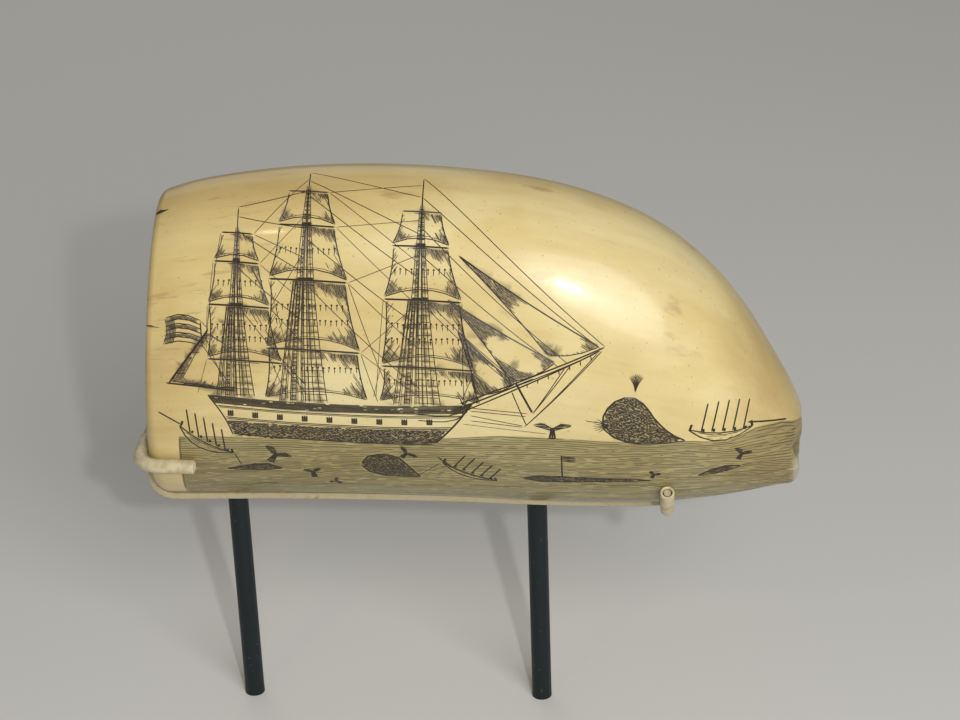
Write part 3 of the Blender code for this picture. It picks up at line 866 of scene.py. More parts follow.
centres = flat_places[triangles].mean(axis=1)
real = room_in_cut(centres[pair_triangle], pair_cut) > -0.02
pair_triangle, pair_cut = pair_triangle[real], pair_cut[real]
tone_of = np.zeros(len(triangles), int)
np.maximum.at(tone_of, pair_triangle, cut_tone[pair_cut])
sunk = np.zeros(len(flat_places))
for corner in range(3):
    at = triangles[pair_triangle, corner]
    np.maximum.at(sunk, at, room_in_cut(flat_places[at], pair_cut) * GROOVE_SLOPE)
sunk = np.clip(sunk, 0, GROOVE_DEPTH) * MM
ground_run, ground_angle = from_ground(flat_places)

# The mesh: the engraved ground, and round it the plain rings of the back, the tip, the root and the cavity.
ring_count = len(rings)
points = [rings.reshape(-1, 3), cavity_apex[None], tip_point[None]]
apex_index = ring_count * SIDES
numbers = np.full(len(flat_places), -1)
for k, sources in enumerate(place_sources):
    known = [s for s in sources if s < len(ground)]
    if known:
        s, a = ground[known[0]]
        numbers[k] = (s + inner_rings) * SIDES + a
fresh = numbers < 0
numbers[fresh] = apex_index + 2 + np.arange(fresh.sum())
points.append(skin(ground_run[fresh], ground_angle[fresh], -sunk[fresh]))
points = np.concatenate(points)
for k in np.flatnonzero(~fresh & (sunk > 0)):
    points[numbers[k]] = skin(ground_run[k], ground_angle[k], -sunk[k])
faces = [tuple(int(n) for n in numbers[triangle]) for triangle in triangles]
tones = list(tone_of)
engraved = len(faces)
for s in range(ring_count - 1):
    for a in range(SIDES):
        b = (a + 1) % SIDES
        if 1 <= s - inner_rings < ground_end and GROUND_FIRST <= a < GROUND_LAST:
            continue
        faces.append((s * SIDES + a, (s + 1) * SIDES + a, (s + 1) * SIDES + b, s * SIDES + b))
for a in range(SIDES):
    b = (a + 1) % SIDES
    faces.append((apex_index, a, b))
    last = (ring_count - 1) * SIDES
    faces.append((last + b, last + a, apex_index + 1))
tones += [0] * (len(faces) - engraved)
raw_low, raw_high = points.min(0), points.max(0)
tooth_low, tooth_high = (np.array(corner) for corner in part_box("tooth"))
points = tooth_low + (points - raw_low) * (tooth_high - tooth_low) / (raw_high - raw_low)
tooth_mesh = bpy.data.meshes.new("tooth_engraved")
tooth_mesh.from_pydata(points.tolist(), [], faces)
tooth_mesh.polygons.foreach_set("material_index", np.array(tones, np.int32))
tooth_mesh.shade_smooth()
tooth = bpy.data.objects.new("tooth_engraved", tooth_mesh)
bpy.context.scene.collection.objects.link(tooth)

# Each point keeps where it lies on the ground, in the straightened tooth and from the root's face inward,
# for the ivory's finish, and how much ink was rubbed into the scratches round it.
pole_runs = [CAVITY_DEPTH * RUN_PER_LENGTH, RUN[-1]]
run_of = np.concatenate([np.zeros(inner_rings * SIDES), skin_runs.ravel(), pole_runs, ground_run[fresh]])
angle_of = np.concatenate([np.tile(angles, ring_count), [0, 0], ground_angle[fresh]])
folded = np.where(angle_of > math.pi / 2, math.pi - angle_of, angle_of)
on_drawing = to_ground(run_of, np.clip(folded, -1.57, 1.57))
at_front = np.where(np.abs(angle_of) <= math.pi / 2 + 1e-6, 1.0, 0.0)
at_front[: inner_rings * SIDES] = 0
_, _, half_height, half_thickness = rib(run_of)
grain = np.stack(
    [run_of / RUN_PER_LENGTH, -half_thickness * np.cos(angle_of), half_height * np.sin(angle_of)], axis=1
)
section = np.zeros(len(points))
for s in range(inner_rings):
    section[s * SIDES : (s + 1) * SIDES] = (
        1 + (inner_rings - s) / FACE_RINGS if s >= len(cavity) else 2 + (len(cavity) - s) / CAVITY_RINGS
    )
section[inner_rings * SIDES : (inner_rings + 1) * SIDES] = 1
section[apex_index] = 3
STAIN_CELL, STAIN_SPREAD = 0.3, 0.5
STAIN_LOW, STAIN_CELLS = (-60, 52), np.array((533, 333))


def cell_of(places):
    return np.clip(((places - STAIN_LOW) / STAIN_CELL).astype(int), 0, STAIN_CELLS - 1)


density = np.zeros(STAIN_CELLS)
for centre, half, _ in shaded:
    places = (centre[1:] + centre[:-1]) / 2
    area = lengths(centre)[1:] - lengths(centre)[:-1]
    area = area * half[:-1].clip(half.max()) * 2
    at = cell_of(places)
    np.add.at(density, (at[:, 0], at[:, 1]), area / STAIN_CELL**2)
kernel = np.exp(-((np.arange(-7, 8) * STAIN_CELL / STAIN_SPREAD) ** 2))
kernel /= kernel.sum()
for axis in (0, 1):
    density = np.apply_along_axis(lambda row: np.convolve(row, kernel, "same"), axis, density)
at = cell_of(on_drawing)
stain = np.clip(density[at[:, 0], at[:, 1]], 0, 1) * at_front
for name, values in (
    ("drawing", np.column_stack([on_drawing, at_front * np.cos(angle_of)])),
    ("grain", grain),
    ("section", section),
    ("stain", stain),
):
    kind, field = ("FLOAT_VECTOR", "vector") if values.ndim == 2 else ("FLOAT", "value")
    attribute = tooth_mesh.attributes.new(name, kind, "POINT")
    attribute.data.foreach_set(field, values.astype(np.float32).ravel())
CHIP_START = 0.93
skin_normals = np.zeros((len(points), 3))
on_wall = np.arange(len(points)) >= (inner_rings + 1) * SIDES
on_wall[[apex_index, apex_index + 1]] = False
on_wall &= run_of < RUN[-1] * CHIP_START  # the chip takes its shading from its own faces
skin_normals[on_wall] = outward(run_of[on_wall], angle_of[on_wall])
loop_vertex = np.zeros(len(tooth_mesh.loops), np.int32)
tooth_mesh.loops.foreach_get("vertex_index", loop_vertex)
loop_normals = skin_normals[loop_vertex]
cut_faces = np.flatnonzero(tone_of)
shape = points[np.array([faces[k] for k in cut_faces])]
flat = np.cross(shape[:, 1] - shape[:, 0], shape[:, 2] - shape[:, 0])
size = np.linalg.norm(flat, axis=1)
usable = size > 1e-12
for corner in range(3):
    loop_normals[cut_faces[usable] * 3 + corner] = flat[usable] / size[usable, None]
tooth_mesh.normals_split_custom_set(loop_normals.tolist())


# The ivory's finish: warm cream with tan clouds, and faint brown streaks along the grain. It is browner
# along the top and at the root, partly the ivory's own tone and partly painted shade where the light falls
# off at the top edge and towards the root. It is whitish at the chip, and stained by the ink rubbed over the
# picture.
class Shade:
    """A socket in a tree of nodes. Arithmetic on it adds Math nodes, and node() adds any other kind."""

    def __init__(self, tree, socket=None):
        self.tree = tree
        self.socket = socket

    def node(self, kind, settings, values, output=0):
        """Adds a node. Settings go on the node itself, and values or links into its sockets."""
        added = self.tree.nodes.new(kind)
        for name, value in settings.items():
            setattr(added, name, value)
        for name, value in values.items():
            if isinstance(value, Shade):
                self.tree.links.new(value.socket, added.inputs[name])
            else:
                added.inputs[name].default_value = value
        return Shade(self.tree, added.outputs[output])

    def calculate(self, operation, first, second=0.0, clamp=False):
        settings = {"operation": operation, "use_clamp": clamp}
        return self.node("ShaderNodeMath", settings, {0: first, 1: second})

    def __add__(self, other):
        return self.calculate("ADD", self, other)

    def __sub__(self, other):
        return self.calculate("SUBTRACT", self, other)

    def __rsub__(self, other):
        return self.calculate("SUBTRACT", other, self)

    def __mul__(self, other):
        return self.calculate("MULTIPLY", self, other)

    def __truediv__(self, other):
        return self.calculate("DIVIDE", self, other)

    def __pow__(self, other):
        return self.calculate("POWER", self, other)

    __radd__ = __add__
    __rmul__ = __mul__

    def step(self, low, high, to_low=0.0, to_high=1.0):
        """A smooth step from one value to another as this goes from low to high."""
        values = {"Value": self, "From Min": low, "From Max": high, "To Min": to_low, "To Max": to_high}
        return self.node("ShaderNodeMapRange", {"interpolation_type": "SMOOTHSTEP"}, values)

    def mix(self, low, high):
        """A colour between two, by this factor."""
        low, high = ((*c, 1) if isinstance(c, tuple) else c for c in (low, high))
        return self.node("ShaderNodeMix", {"data_type": "RGBA"}, {0: self, 6: low, 7: high}, 2)

    def part(self, axis):
        return self.node("ShaderNodeSeparateXYZ", {}, {0: self}, axis)

    def stretched(self, scale, place=(0, 0, 0)):
        return self.node("ShaderNodeMapping", {}, {"Vector": self, "Scale": scale, "Location": place})

    def noise(self, scale, detail=2.0, roughness=0.5, distortion=0.0):
        values = {"Vector": self, "Scale": scale, "Detail": detail, "Roughness": roughness}
        return self.node("ShaderNodeTexNoise", {}, {**values, "Distortion": distortion})

    def attribute(self, name, output=1):
        return self.node("ShaderNodeAttribute", {"attribute_name": name}, {}, output)

    def bump(self, strength, distance):
        return self.node("ShaderNodeBump", {}, {"Height": self, "Strength": strength, "Distance": distance})


def make_material(name, colour, roughness, **plain):
    """A material whose plain values sit on its shader, and the start of its nodes."""
    material = bpy.data.materials.new(name)
    material.use_nodes = True
    shader = material.node_tree.nodes["Principled BSDF"]
    shader.inputs["Base Color"].default_value = (*colour, 1)
    shader.inputs["Roughness"].default_value = roughness
    for socket, value in plain.items():
        shader.inputs[socket.replace("_", " ")].default_value = value
    material.diffuse_color = (*colour, 1)
    return material, shader, Shade(material.node_tree)


def drive(shader, **sockets):
    for name, shade in sockets.items():
        shade.tree.links.new(shade.socket, shader.inputs[name.replace("_", " ")])


IVORY_PALE = (0.76, 0.665, 0.385)
IVORY_WARM = (0.66, 0.53, 0.235)
IVORY_TAN = (0.46, 0.32, 0.12)
IVORY_WHITE = (0.80, 0.78, 0.68)
SEA_TINT = (0.215, 0.187, 0.072)
INK_STAIN = (0.11, 0.082, 0.045)
CEMENTUM = (0.52, 0.40, 0.20)
CAVITY_APEX_DARK = (0.10, 0.055, 0.025)

ivory, ivory_shader, start = make_material(
    "polished_ivory",
    IVORY_PALE,
    0.3,
    Subsurface_Weight=0.12,
    Subsurface_Radius=(0.9, 0.55, 0.3),
    Subsurface_Scale=0.004,
    Coat_Weight=0.32,
    Coat_Roughness=0.10,
    Specular_IOR_Level=0.35,
    IOR=1.54,
)
grain_at = start.attribute("grain")
drawing_at = start.attribute("drawing")
section_at = start.attribute("section", 2)
stain_at = start.attribute("stain", 2)
along, height = grain_at.part(0), grain_at.part(2)
clouds = grain_at.stretched((0.6, 1, 1)).noise(38, 4, 0.55, 0.4)
streaks = grain_at.stretched((0.10, 1, 1)).noise(260, 3, 0.6)
fibres = grain_at.stretched((0.05, 1, 1)).noise(1100, 2, 0.5)
blotches = grain_at.stretched((0.28, 1, 1), (0.3, 0, 0)).noise(170, 3, 0.6)
# Browner along the top, at the root and near the tip: partly the ivory's own tone, partly painted shade
# where the light falls off at the top edge and towards the root.
tan_and_painted_shade = height.step(0.030, 0.0405) * 0.42 + along.step(0.075, 0.0) * 0.30 + along.step(0.010, 0.0) * 0.2
tan_and_painted_shade = tan_and_painted_shade + along.step(0.128, 0.146) * 0.4
tan_share = (clouds.step(0.42, 0.72) * 0.35 + tan_and_painted_shade + (streaks - 0.5) * 0.5).step(0.0, 1.15)
# The warm share also grows towards the root and along the top, which is partly painted shade there too.
warm_share = clouds.step(0.3, 0.62) * 0.85 + along.step(0.070, 0.010) * 0.45
warm_share = warm_share + height.step(0.012, 0.038) * 0.45
colour = warm_share.mix(IVORY_PALE, IVORY_WARM)
colour = tan_share.mix(colour, IVORY_TAN)
flecks = blotches.step(0.62, 0.74) * (height.step(0.0, 0.034) * 0.5 + 0.10)
colour = flecks.mix(colour, (0.36, 0.22, 0.09))
scores = grain_at.stretched((0.13, 1, 1), (0, 0.2, 0)).noise(640, 3, 0.6).step(0.58, 0.68)
scored = scores * (along.step(0.050, 0.008) * height.step(-0.012, 0.016) * 0.5 + 0.05)
colour = scored.mix(colour, (0.38, 0.24, 0.10))
specks = grain_at.noise(1500, 1, 0.4).step(0.72, 0.76)
colour = (specks * 0.45).mix(colour, (0.30, 0.19, 0.08))
colour = (streaks.step(0.35, 0.8) * 0.18).mix(colour, (0.52, 0.36, 0.16))
ground_x, ground_h, ground_front = drawing_at.part(0), drawing_at.part(1), drawing_at.part(2)
shore = ground_x.node("ShaderNodeFloatCurve", {}, {"Factor": 1.0, "Value": (ground_x + 50.0) / 150.0})
curve = shore.socket.node.mapping.curves[0]
for _ in SHORE[2:]:
    curve.points.new(0.5, 0.5)
for point, (x, h) in zip(curve.points, SHORE):
    point.location = ((x + 50) / 150, (h - 70) / 20)
shore.socket.node.mapping.update()
shore_h = shore * 20.0 + 70.0
rubbed = drawing_at.stretched((0.05, 0.9, 1)).noise(1.1, 4, 0.65)
sea = (shore_h - ground_h).step(-0.25, 0.35) * ground_x.step(SEA_LEFT - 0.25, SEA_LEFT + 0.15)
sea = sea * ground_front.step(0.03, 0.30) * (0.74 + (rubbed - 0.5) * 1.1)
sea_tone = (ground_x.step(72.0, 90.0) * rubbed.step(0.3, 0.75)).mix(SEA_TINT, (0.15, 0.112, 0.045))
colour = sea.calculate("MINIMUM", sea, 1.0).mix(colour, sea_tone)
place = start.node("ShaderNodeTexCoord", {}, {}, 3)
lobe_height = place.part(2)
tip_lobe = place.part(0).step(0.0925, 0.0958)
tip_lobe = tip_lobe * lobe_height.step(0.0725, 0.0690) * lobe_height.step(0.0600, 0.0655)
colour = (tip_lobe * place.part(1).step(0.006, -0.004) * 0.45).mix(colour, IVORY_WHITE)
smudge = stain_at.step(0.10, 0.62) * 0.88 * (0.8 + (rubbed - 0.5) * 0.6)
colour = smudge.mix(colour, INK_STAIN)
growth = start.calculate("SINE", section_at * 34.0 + clouds * 5.0)
on_face = section_at.step(0.6, 0.95)
face_colour = (growth.step(-0.6, 1.0) * 0.35 + clouds.step(0.4, 0.7) * 0.3).mix(IVORY_WARM, CEMENTUM)
dark_ring = section_at.step(1.20, 1.24) * section_at.step(1.30, 1.25) * 0.7
face_colour = dark_ring.mix(face_colour, (0.22, 0.13, 0.05))
colour = on_face.mix(colour, face_colour)
# The cavity's wall is browner at its mouth and darker towards its apex.
colour = section_at.step(1.92, 2.25).mix(colour, (0.30, 0.19, 0.09))
colour = section_at.step(2.15, 2.8).mix(colour, CAVITY_APEX_DARK)
roughness = 0.24 + fibres * 0.09 + tan_and_painted_shade * 0.10 + sea * 0.10 + on_face * 0.25 + streaks * 0.06
relief = fibres * 0.25 + streaks * 0.5 + clouds * 0.5 + blotches * 0.3 + on_face * growth * 0.3
drive(ivory_shader, Base_Color=colour, Roughness=roughness, Normal=relief.bump(0.28, 0.00022))

fine_ink, _, _ = make_material("rubbed_scratch", (0.088, 0.062, 0.030), 0.42)
dark_ink, _, _ = make_material("inked_cut", (0.026, 0.018, 0.010), 0.38)
for material in (ivory, fine_ink, dark_ink):
    tooth_mesh.materials.append(material)
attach(tooth, "root")
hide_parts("tooth")


# The cradle: a flat brass strip bent to the underside of the tooth and up its root, its edges eased with a
# file and its ends filed round. Two brass wires are brazed across it, and all of it is painted cream.
_, strip_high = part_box("cradle")
STRIP_WIDTH = 0.00635
STRIP_THICKNESS = 0.0016
STRIP_EASING = 0.0003
WIRE_DIAMETER = 0.0016
BRAZE_DEPTH = 0.0003
BRAZE_ALONG, BRAZE_ACROSS, BRAZE_HEIGHT, BRAZE_SINK = 0.00155, 0.0029, 0.00075, 0.0006
GAP = 0.0003
LEFT_GRIP_HEIGHT = 0.0163
LEFT_GRIP_REACH = 0.0085
RIGHT_GRIP_HEIGHT = 0.0120
SLEEVE_DIAMETER = 0.0033
SLEEVE_START = 0.0044
SLEEVE_FIT = 0.0003
WIRE_RECESS = 0.0004
TUBE_UP = np.array((1, 0, 0.3))
WALL_RUN = RUN[-1]


def at_v(v, angle):
    """The skin at a share of the wall's length, or at -1 on the edge of the sawn face."""
    v, angle = np.broadcast_arrays(np.asarray(v, float), np.asarray(angle, float))
    begin = rim_radius(angle) * RUN_PER_LENGTH
    turn = np.clip(-v, 0, 1) * math.pi / 2
    run = begin * (1 - np.sin(turn)) + (WALL_RUN - begin) * np.clip(v, 0, 1)
    return skin(run, angle), outward(np.maximum(run, 2e-6), angle)


def at_x(x, angle):
    v = np.linspace(0, 1, 400)
    return np.interp(x, at_v(v, angle)[0][:, 0], v)


def strip_lines():
    """The strip's inner and outer lines, from its right end to its top on the root."""
    wall = np.linspace(at_x(strip_high[0], BELOW), 0, 150, endpoint=False)
    points, normal = at_v(np.concatenate([wall, np.linspace(0, -0.995, 26)]), BELOW)
    _, up, _, _ = rib(np.array(0.0))
    up = np.array([up[0], 0, up[1]])
    normal[:, 1] = 0
    normal /= np.linalg.norm(normal, axis=1)[:, None]
    climb = (strip_high[2] - points[-1, 2]) / up[2]
    points = np.vstack([points, points[-1] + np.outer(np.linspace(0, climb, 10)[1:], up)])
    normal = np.vstack([normal, np.tile((-up[2], 0, up[0]), (9, 1))])
    return points + normal * GAP, points + normal * (GAP + STRIP_THICKNESS)


def lofted(rings):
    """A closed mesh through rings of points, capped at its ends."""
    mesh = bmesh.new()
    loops = [[mesh.verts.new(point) for point in ring] for ring in rings]
    for one, other in zip(loops, loops[1:]):
        for i in range(len(one)):
            j = (i + 1) % len(one)
            mesh.faces.new((one[i], one[j], other[j], other[i]))
    mesh.faces.new(loops[0])
    mesh.faces.new(loops[-1])
    bmesh.ops.recalc_face_normals(mesh, faces=mesh.faces)
    return mesh


def add_piece(name, mesh, smooth=40):
    data = bpy.data.meshes.new(name)
    mesh.to_mesh(data)
    mesh.free()
    data.shade_smooth()
    data.set_sharp_from_angle(angle=math.radians(smooth))
    made = bpy.data.objects.new(name, data)
    bpy.context.scene.collection.objects.link(made)
    return made


def circles(line, radius, sides):
    """Rings round a line."""
    along = np.gradient(line, axis=0)
    along /= np.linalg.norm(along, axis=1)[:, None]
    first = TUBE_UP - along * (along @ TUBE_UP)[:, None]
    first /= np.linalg.norm(first, axis=1)[:, None]
    second = np.cross(along, first)
    turns = np.arange(sides) * 2 * math.pi / sides
    over, beside = radius * np.cos(turns), radius * np.sin(turns)
    return [point + np.outer(over, a) + np.outer(beside, b) for point, a, b in zip(line, first, second)]


def stretch_of(line, begin, end, step):
    run = lengths(line)
    even = np.linspace(begin, end, max(2, round((end - begin) / step) + 1))
    return np.stack([np.interp(even, run, line[:, k]) for k in range(3)], axis=1)


def beside_tooth(v, height, clear):
    """The point at this height that lies this far off the front of the tooth."""
    points, normals = at_v(v, np.linspace(BELOW, -BELOW, 360))
    around = points + normals * clear
    return np.array([np.interp(height, around[:, 2], around[:, k]) for k in range(3)])


def left_grip():
    """The left wire's front half: from the middle of the strip, round the root's corner, along the face."""
    height = SEAT_HEIGHT + LEFT_GRIP_HEIGHT
    clear = SLEEVE_DIAMETER / 2 + GAP
    reach = LEFT_GRIP_REACH * RUN_PER_LENGTH / WALL_RUN
    places = np.concatenate([np.linspace(-1, 0, 9), np.linspace(0, reach, 6)[1:]])
    line = np.array([beside_tooth(v, height, clear) for v in places])
    on_strip = line[0].copy()
    on_strip[0] += clear - (GAP + STRIP_THICKNESS - BRAZE_DEPTH + WIRE_DIAMETER / 2)
    middle = on_strip * (1, 0, 1)
    beside = middle - (0, STRIP_WIDTH / 2, 0)
    return np.vstack([[middle], [beside], [line[0] * (1, 0, 1) - (0, SLEEVE_START, 0)], line])


def right_grip():
    """The right wire's front half: from under the strip's end, round the tooth's section, up its face."""
    x = sum(corner[0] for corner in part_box("sleeve_right_front")) / 2
    clear = SLEEVE_DIAMETER / 2 + GAP
    under = GAP + STRIP_THICKNESS - BRAZE_DEPTH + WIRE_DIAMETER / 2
    line = []
    for angle in np.linspace(BELOW, 0, 60):
        point, normal = at_v(at_x(x, angle), angle)
        beside = min(1.0, abs(point[1]) / SLEEVE_START)
        line.append(point + normal * (under + (clear - under) * beside))
    line = np.array(line)
    line[:, 0] = x
    return line[line[:, 2] < SEAT_HEIGHT + RIGHT_GRIP_HEIGHT]


inner, outer = strip_lines()
strip_run = lengths(outer)
half_width = STRIP_WIDTH / 2
rounding = half_width * (1 - np.cos(np.radians((9, 20, 32, 45, 60, 75, 90))))
straight = np.linspace(half_width, strip_run[-1] - half_width, 90)[1:-1]
strip_rings = []
for place in np.concatenate([rounding, straight, strip_run[-1] - rounding[::-1]]):
    to_end = min(place, strip_run[-1] - place, half_width)
    width = math.sqrt(half_width**2 - (half_width - to_end) ** 2)
    low, high = (np.array([np.interp(place, strip_run, way) for way in line.T]) for line in (outer, inner))
    rise = (high - low) / np.linalg.norm(high - low)
    ring = []
    for side, level, begin in ((-1, low, 180), (1, low, 270), (1, high, 0), (-1, high, 90)):
        inward = 1 if level is low else -1
        for turn in np.radians(begin + np.array((0, 30, 60, 90))):
            across = side * (width - STRIP_EASING) + STRIP_EASING * math.cos(turn)
            lift = STRIP_EASING * inward + STRIP_EASING * math.sin(turn)
            ring.append(level + rise * lift + (0, across, 0))
    strip_rings.append(ring)
strip = add_piece("cradle_painted", lofted(strip_rings), 50)
for side, half_line in (("left", left_grip()), ("right", right_grip())):
    run = lengths(half_line)
    half = stretch_of(half_line, 0, run[-1] - WIRE_RECESS, 0.0007)
    whole = np.vstack([(half[::-1] * (1, -1, 1))[:-1], half])
    wire = add_piece(side + "_wire", lofted(circles(whole, WIRE_DIAMETER / 2, 18)))
    braze = bmesh.new()
    bmesh.ops.create_uvsphere(braze, u_segments=20, v_segments=12, radius=1)
    for vertex in braze.verts:
        along_strip, across, off = vertex.co
        normal = Vector((-0.98, 0, -0.12)) if side == "left" else Vector((0.15, 0, -1)).normalized()
        tangent = normal.cross(Vector((0, 1, 0)))
        lump = tangent * along_strip * BRAZE_ALONG + normal * off * BRAZE_HEIGHT
        vertex.co = Vector(half[0]) - normal * BRAZE_SINK + (lump + Vector((0, across * BRAZE_ACROSS, 0)))
    braze_piece = add_piece(side + "_braze", braze)
    for helper in (wire, braze_piece):
        union = strip.modifiers.new(helper.name, "BOOLEAN")
        union.operation = "UNION"
        union.solver = "EXACT"
        union.object = helper
graph = bpy.context.evaluated_depsgraph_get()
joined = bpy.data.meshes.new_from_object(strip.evaluated_get(graph))
strip.modifiers.clear()
strip.data = joined
joined.name = "cradle_painted"
for helper in [o for o in bpy.data.objects if o.name.endswith(("_wire", "_braze"))]:
    bpy.data.objects.remove(helper)

CREAM_PAINT = (0.46, 0.405, 0.26)
CREAM_GRIME = (0.30, 0.25, 0.16)
BARE_BRASS = (0.52, 0.36, 0.12)
cradle_paint, shader, start = make_material("cream_paint", CREAM_PAINT, 0.4, Specular_IOR_Level=0.45)
place = start.node("ShaderNodeTexCoord", {}, {}, 3)
brushing = place.stretched((30, 260, 260)).noise(1.0, 4, 0.6)
dirt = place.noise(420, 4, 0.7)
edges = start.node("ShaderNodeNewGeometry", {}, {}, 7).step(0.505, 0.56)
wear = edges * place.noise(900, 3, 0.7).step(0.50, 0.62)
colour = (brushing.step(0.3, 0.75) * 0.35).mix(CREAM_PAINT, (0.38, 0.325, 0.195))
colour = (dirt.step(0.55, 0.8) * 0.45).mix(colour, CREAM_GRIME)
colour = wear.mix(colour, BARE_BRASS)
drive(
    shader,
    Base_Color=colour,
    Roughness=0.34 + dirt * 0.2 - wear * 0.08,
    Metallic=wear * 0.9,
    Normal=(brushing * 0.6 + dirt * 0.4 - wear * 0.5).bump(0.3, 0.00012),
)
joined.materials.clear()
joined.materials.append(cradle_paint)
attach(strip, "root")
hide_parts("cradle")

# The sleeves: soft vinyl tubing slid over the ends of the wires, so that brass doesn't touch ivory. Their
# ends are cut square with a knife, and they have yellowed to the ivory's own colour.
SLEEVE_ROUNDING = 0.00030
vinyl, shader, start = make_material(
    "yellowed_vinyl",
    (0.66, 0.58, 0.40),
    0.36,
    Subsurface_Weight=0.35,
    Subsurface_Radius=(1.0, 0.7, 0.4),
    Subsurface_Scale=0.0016,
)
place = start.node("ShaderNodeTexCoord", {}, {}, 3)
patches = place.noise(520, 3, 0.6)
dust = place.noise(2600, 3, 0.7)
colour = patches.step(0.35, 0.7).mix((0.60, 0.53, 0.36), (0.46, 0.38, 0.22))
colour = (dust.step(0.60, 0.75) * 0.5).mix(colour, (0.30, 0.24, 0.15))
drive(
    shader,
    Base_Color=colour,
    Roughness=0.30 + patches * 0.18,
    Normal=(patches + dust * 0.3).bump(0.25, 0.00010),
)
def tube_tree():
    """Turns a wall about an axis into a tube with rounded mouths, and bends it to the line it is given."""
    tree = bpy.data.node_groups.new("tube_along_a_line", "GeometryNodeTree")
    tree.interface.new_socket("Geometry", in_out="OUTPUT", socket_type="NodeSocketGeometry")
    kinds = {"Geometry": "Geometry", "Sides": "Int", "Material": "Material"}
    kinds.update(dict.fromkeys(("Radius", "Bore", "Rounding", "Spacing", "Ripple"), "Float"))
    for name, kind in kinds.items():
        tree.interface.new_socket(name, in_out="INPUT", socket_type="NodeSocket" + kind)
    group = tree.nodes.new("NodeGroupInput")
    given = {name: Shade(tree, group.outputs[name]) for name in kinds}
    start = Shade(tree)
    line = start.node("GeometryNodeMeshToCurve", {}, {"Mesh": given["Geometry"]})
    reach = start.node("GeometryNodeCurveLength", {}, {"Curve": line})
    size = {"Width": given["Radius"] - given["Bore"], "Height": reach}
    wall = start.node("GeometryNodeCurvePrimitiveQuadrilateral", {}, size)
    rounded = {"Curve": wall, "Count": 4, "Radius": given["Rounding"]}
    wall = start.node("GeometryNodeFilletCurve", {"mode": "POLY"}, rounded)
    here = start.node("GeometryNodeInputPosition", {}, {})
    after = start.node("GeometryNodeOffsetPointInCurve", {}, {"Offset": 1}, 1)
    at_after = {"Value": here, "Index": after}
    there = start.node("GeometryNodeFieldAtIndex", {"data_type": "FLOAT_VECTOR"}, at_after)
    apart = start.node("ShaderNodeVectorMath", {"operation": "DISTANCE"}, {0: here, 1: there}, 1)
    wall = start.node("GeometryNodeSubdivideCurve", {}, {"Curve": wall, "Cuts": apart / given["Spacing"]})
    turned = {"Resolution": given["Sides"], "Radius": (given["Radius"] + given["Bore"]) * 0.5}
    turned = start.node("GeometryNodeCurvePrimitiveCircle", {}, turned)
    tube = start.node("GeometryNodeCurveToMesh", {}, {"Curve": turned, "Profile Curve": wall})
    on_line = {"Curves": line, "Length": here.part(2) + reach * 0.5}
    centre = start.node("GeometryNodeSampleCurve", {"mode": "LENGTH"}, on_line, 1)
    along, normal = (Shade(tree, centre.socket.node.outputs[name]) for name in ("Tangent", "Normal"))
    across = start.node("ShaderNodeVectorMath", {"operation": "CROSS_PRODUCT"}, {0: along, 1: normal})
    slack = 1 - here.noise(420.0, 1.0) * given["Ripple"]
    moved = centre
    for way, axis in ((normal, 0), (across, 1)):
        scaled = {0: way, "Scale": here.part(axis) * slack}
        out = start.node("ShaderNodeVectorMath", {"operation": "SCALE"}, scaled)
        moved = start.node("ShaderNodeVectorMath", {"operation": "ADD"}, {0: moved, 1: out})
    tube = start.node("GeometryNodeSetPosition", {}, {"Geometry": tube, "Position": moved})
    tube = start.node("GeometryNodeRealizeInstances", {}, {"Geometry": tube})
    tube = start.node("GeometryNodeSetMaterial", {}, {"Geometry": tube, "Material": given["Material"]})
    tree.links.new(tube.socket, tree.nodes.new("NodeGroupOutput").inputs[0])
    return tree


def grown(name, points, tree, **inputs):
    """The plain mesh that a tree of geometry nodes makes from a line of points."""
    data = bpy.data.meshes.new(name)
    data.from_pydata(points.tolist(), [(k, k + 1) for k in range(len(points) - 1)], [])
    source = bpy.data.objects.new(name, data)
    bpy.context.scene.collection.objects.link(source)
    modifier = source.modifiers.new("nodes", "NODES")
    modifier.node_group = tree
    for item in tree.interface.items_tree:
        if item.in_out == "INPUT" and item.name in inputs:
            modifier[item.identifier] = inputs[item.name]
    evaluated = source.evaluated_get(bpy.context.evaluated_depsgraph_get())
    made = bpy.data.meshes.new_from_object(evaluated)
    source.modifiers.remove(modifier)
    bpy.data.objects.remove(source)
    mesh = bmesh.new()
    mesh.from_mesh(made)
    bpy.data.meshes.remove(made)
    bmesh.ops.recalc_face_normals(mesh, faces=mesh.faces)
    return mesh


tube_nodes = tube_tree()
for side, half_line in (("left", left_grip()), ("right", right_grip())):
    run = lengths(half_line)
    begin = np.interp(SLEEVE_START, np.abs(half_line[:, 1]), run)
    for face, line in (("front", half_line), ("back", half_line * (1, -1, 1))):
        mesh = grown(
            f"sleeve_{side}_{face}_line",
            stretch_of(line, begin, run[-1], 0.0009),
            tube_nodes,
            Radius=SLEEVE_DIAMETER / 2,
            Bore=WIRE_DIAMETER / 2 + SLEEVE_FIT,
            Rounding=SLEEVE_ROUNDING,
            Spacing=0.0011,
            Sides=24,
            Ripple=0.03,
            Material=vinyl,
        )
        sleeve = add_piece(f"sleeve_{side}_{face}_tube", mesh, 60)
        sleeve.data.materials.append(vinyl)
        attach(sleeve, "root")
        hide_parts(f"sleeve_{side}_{face}")

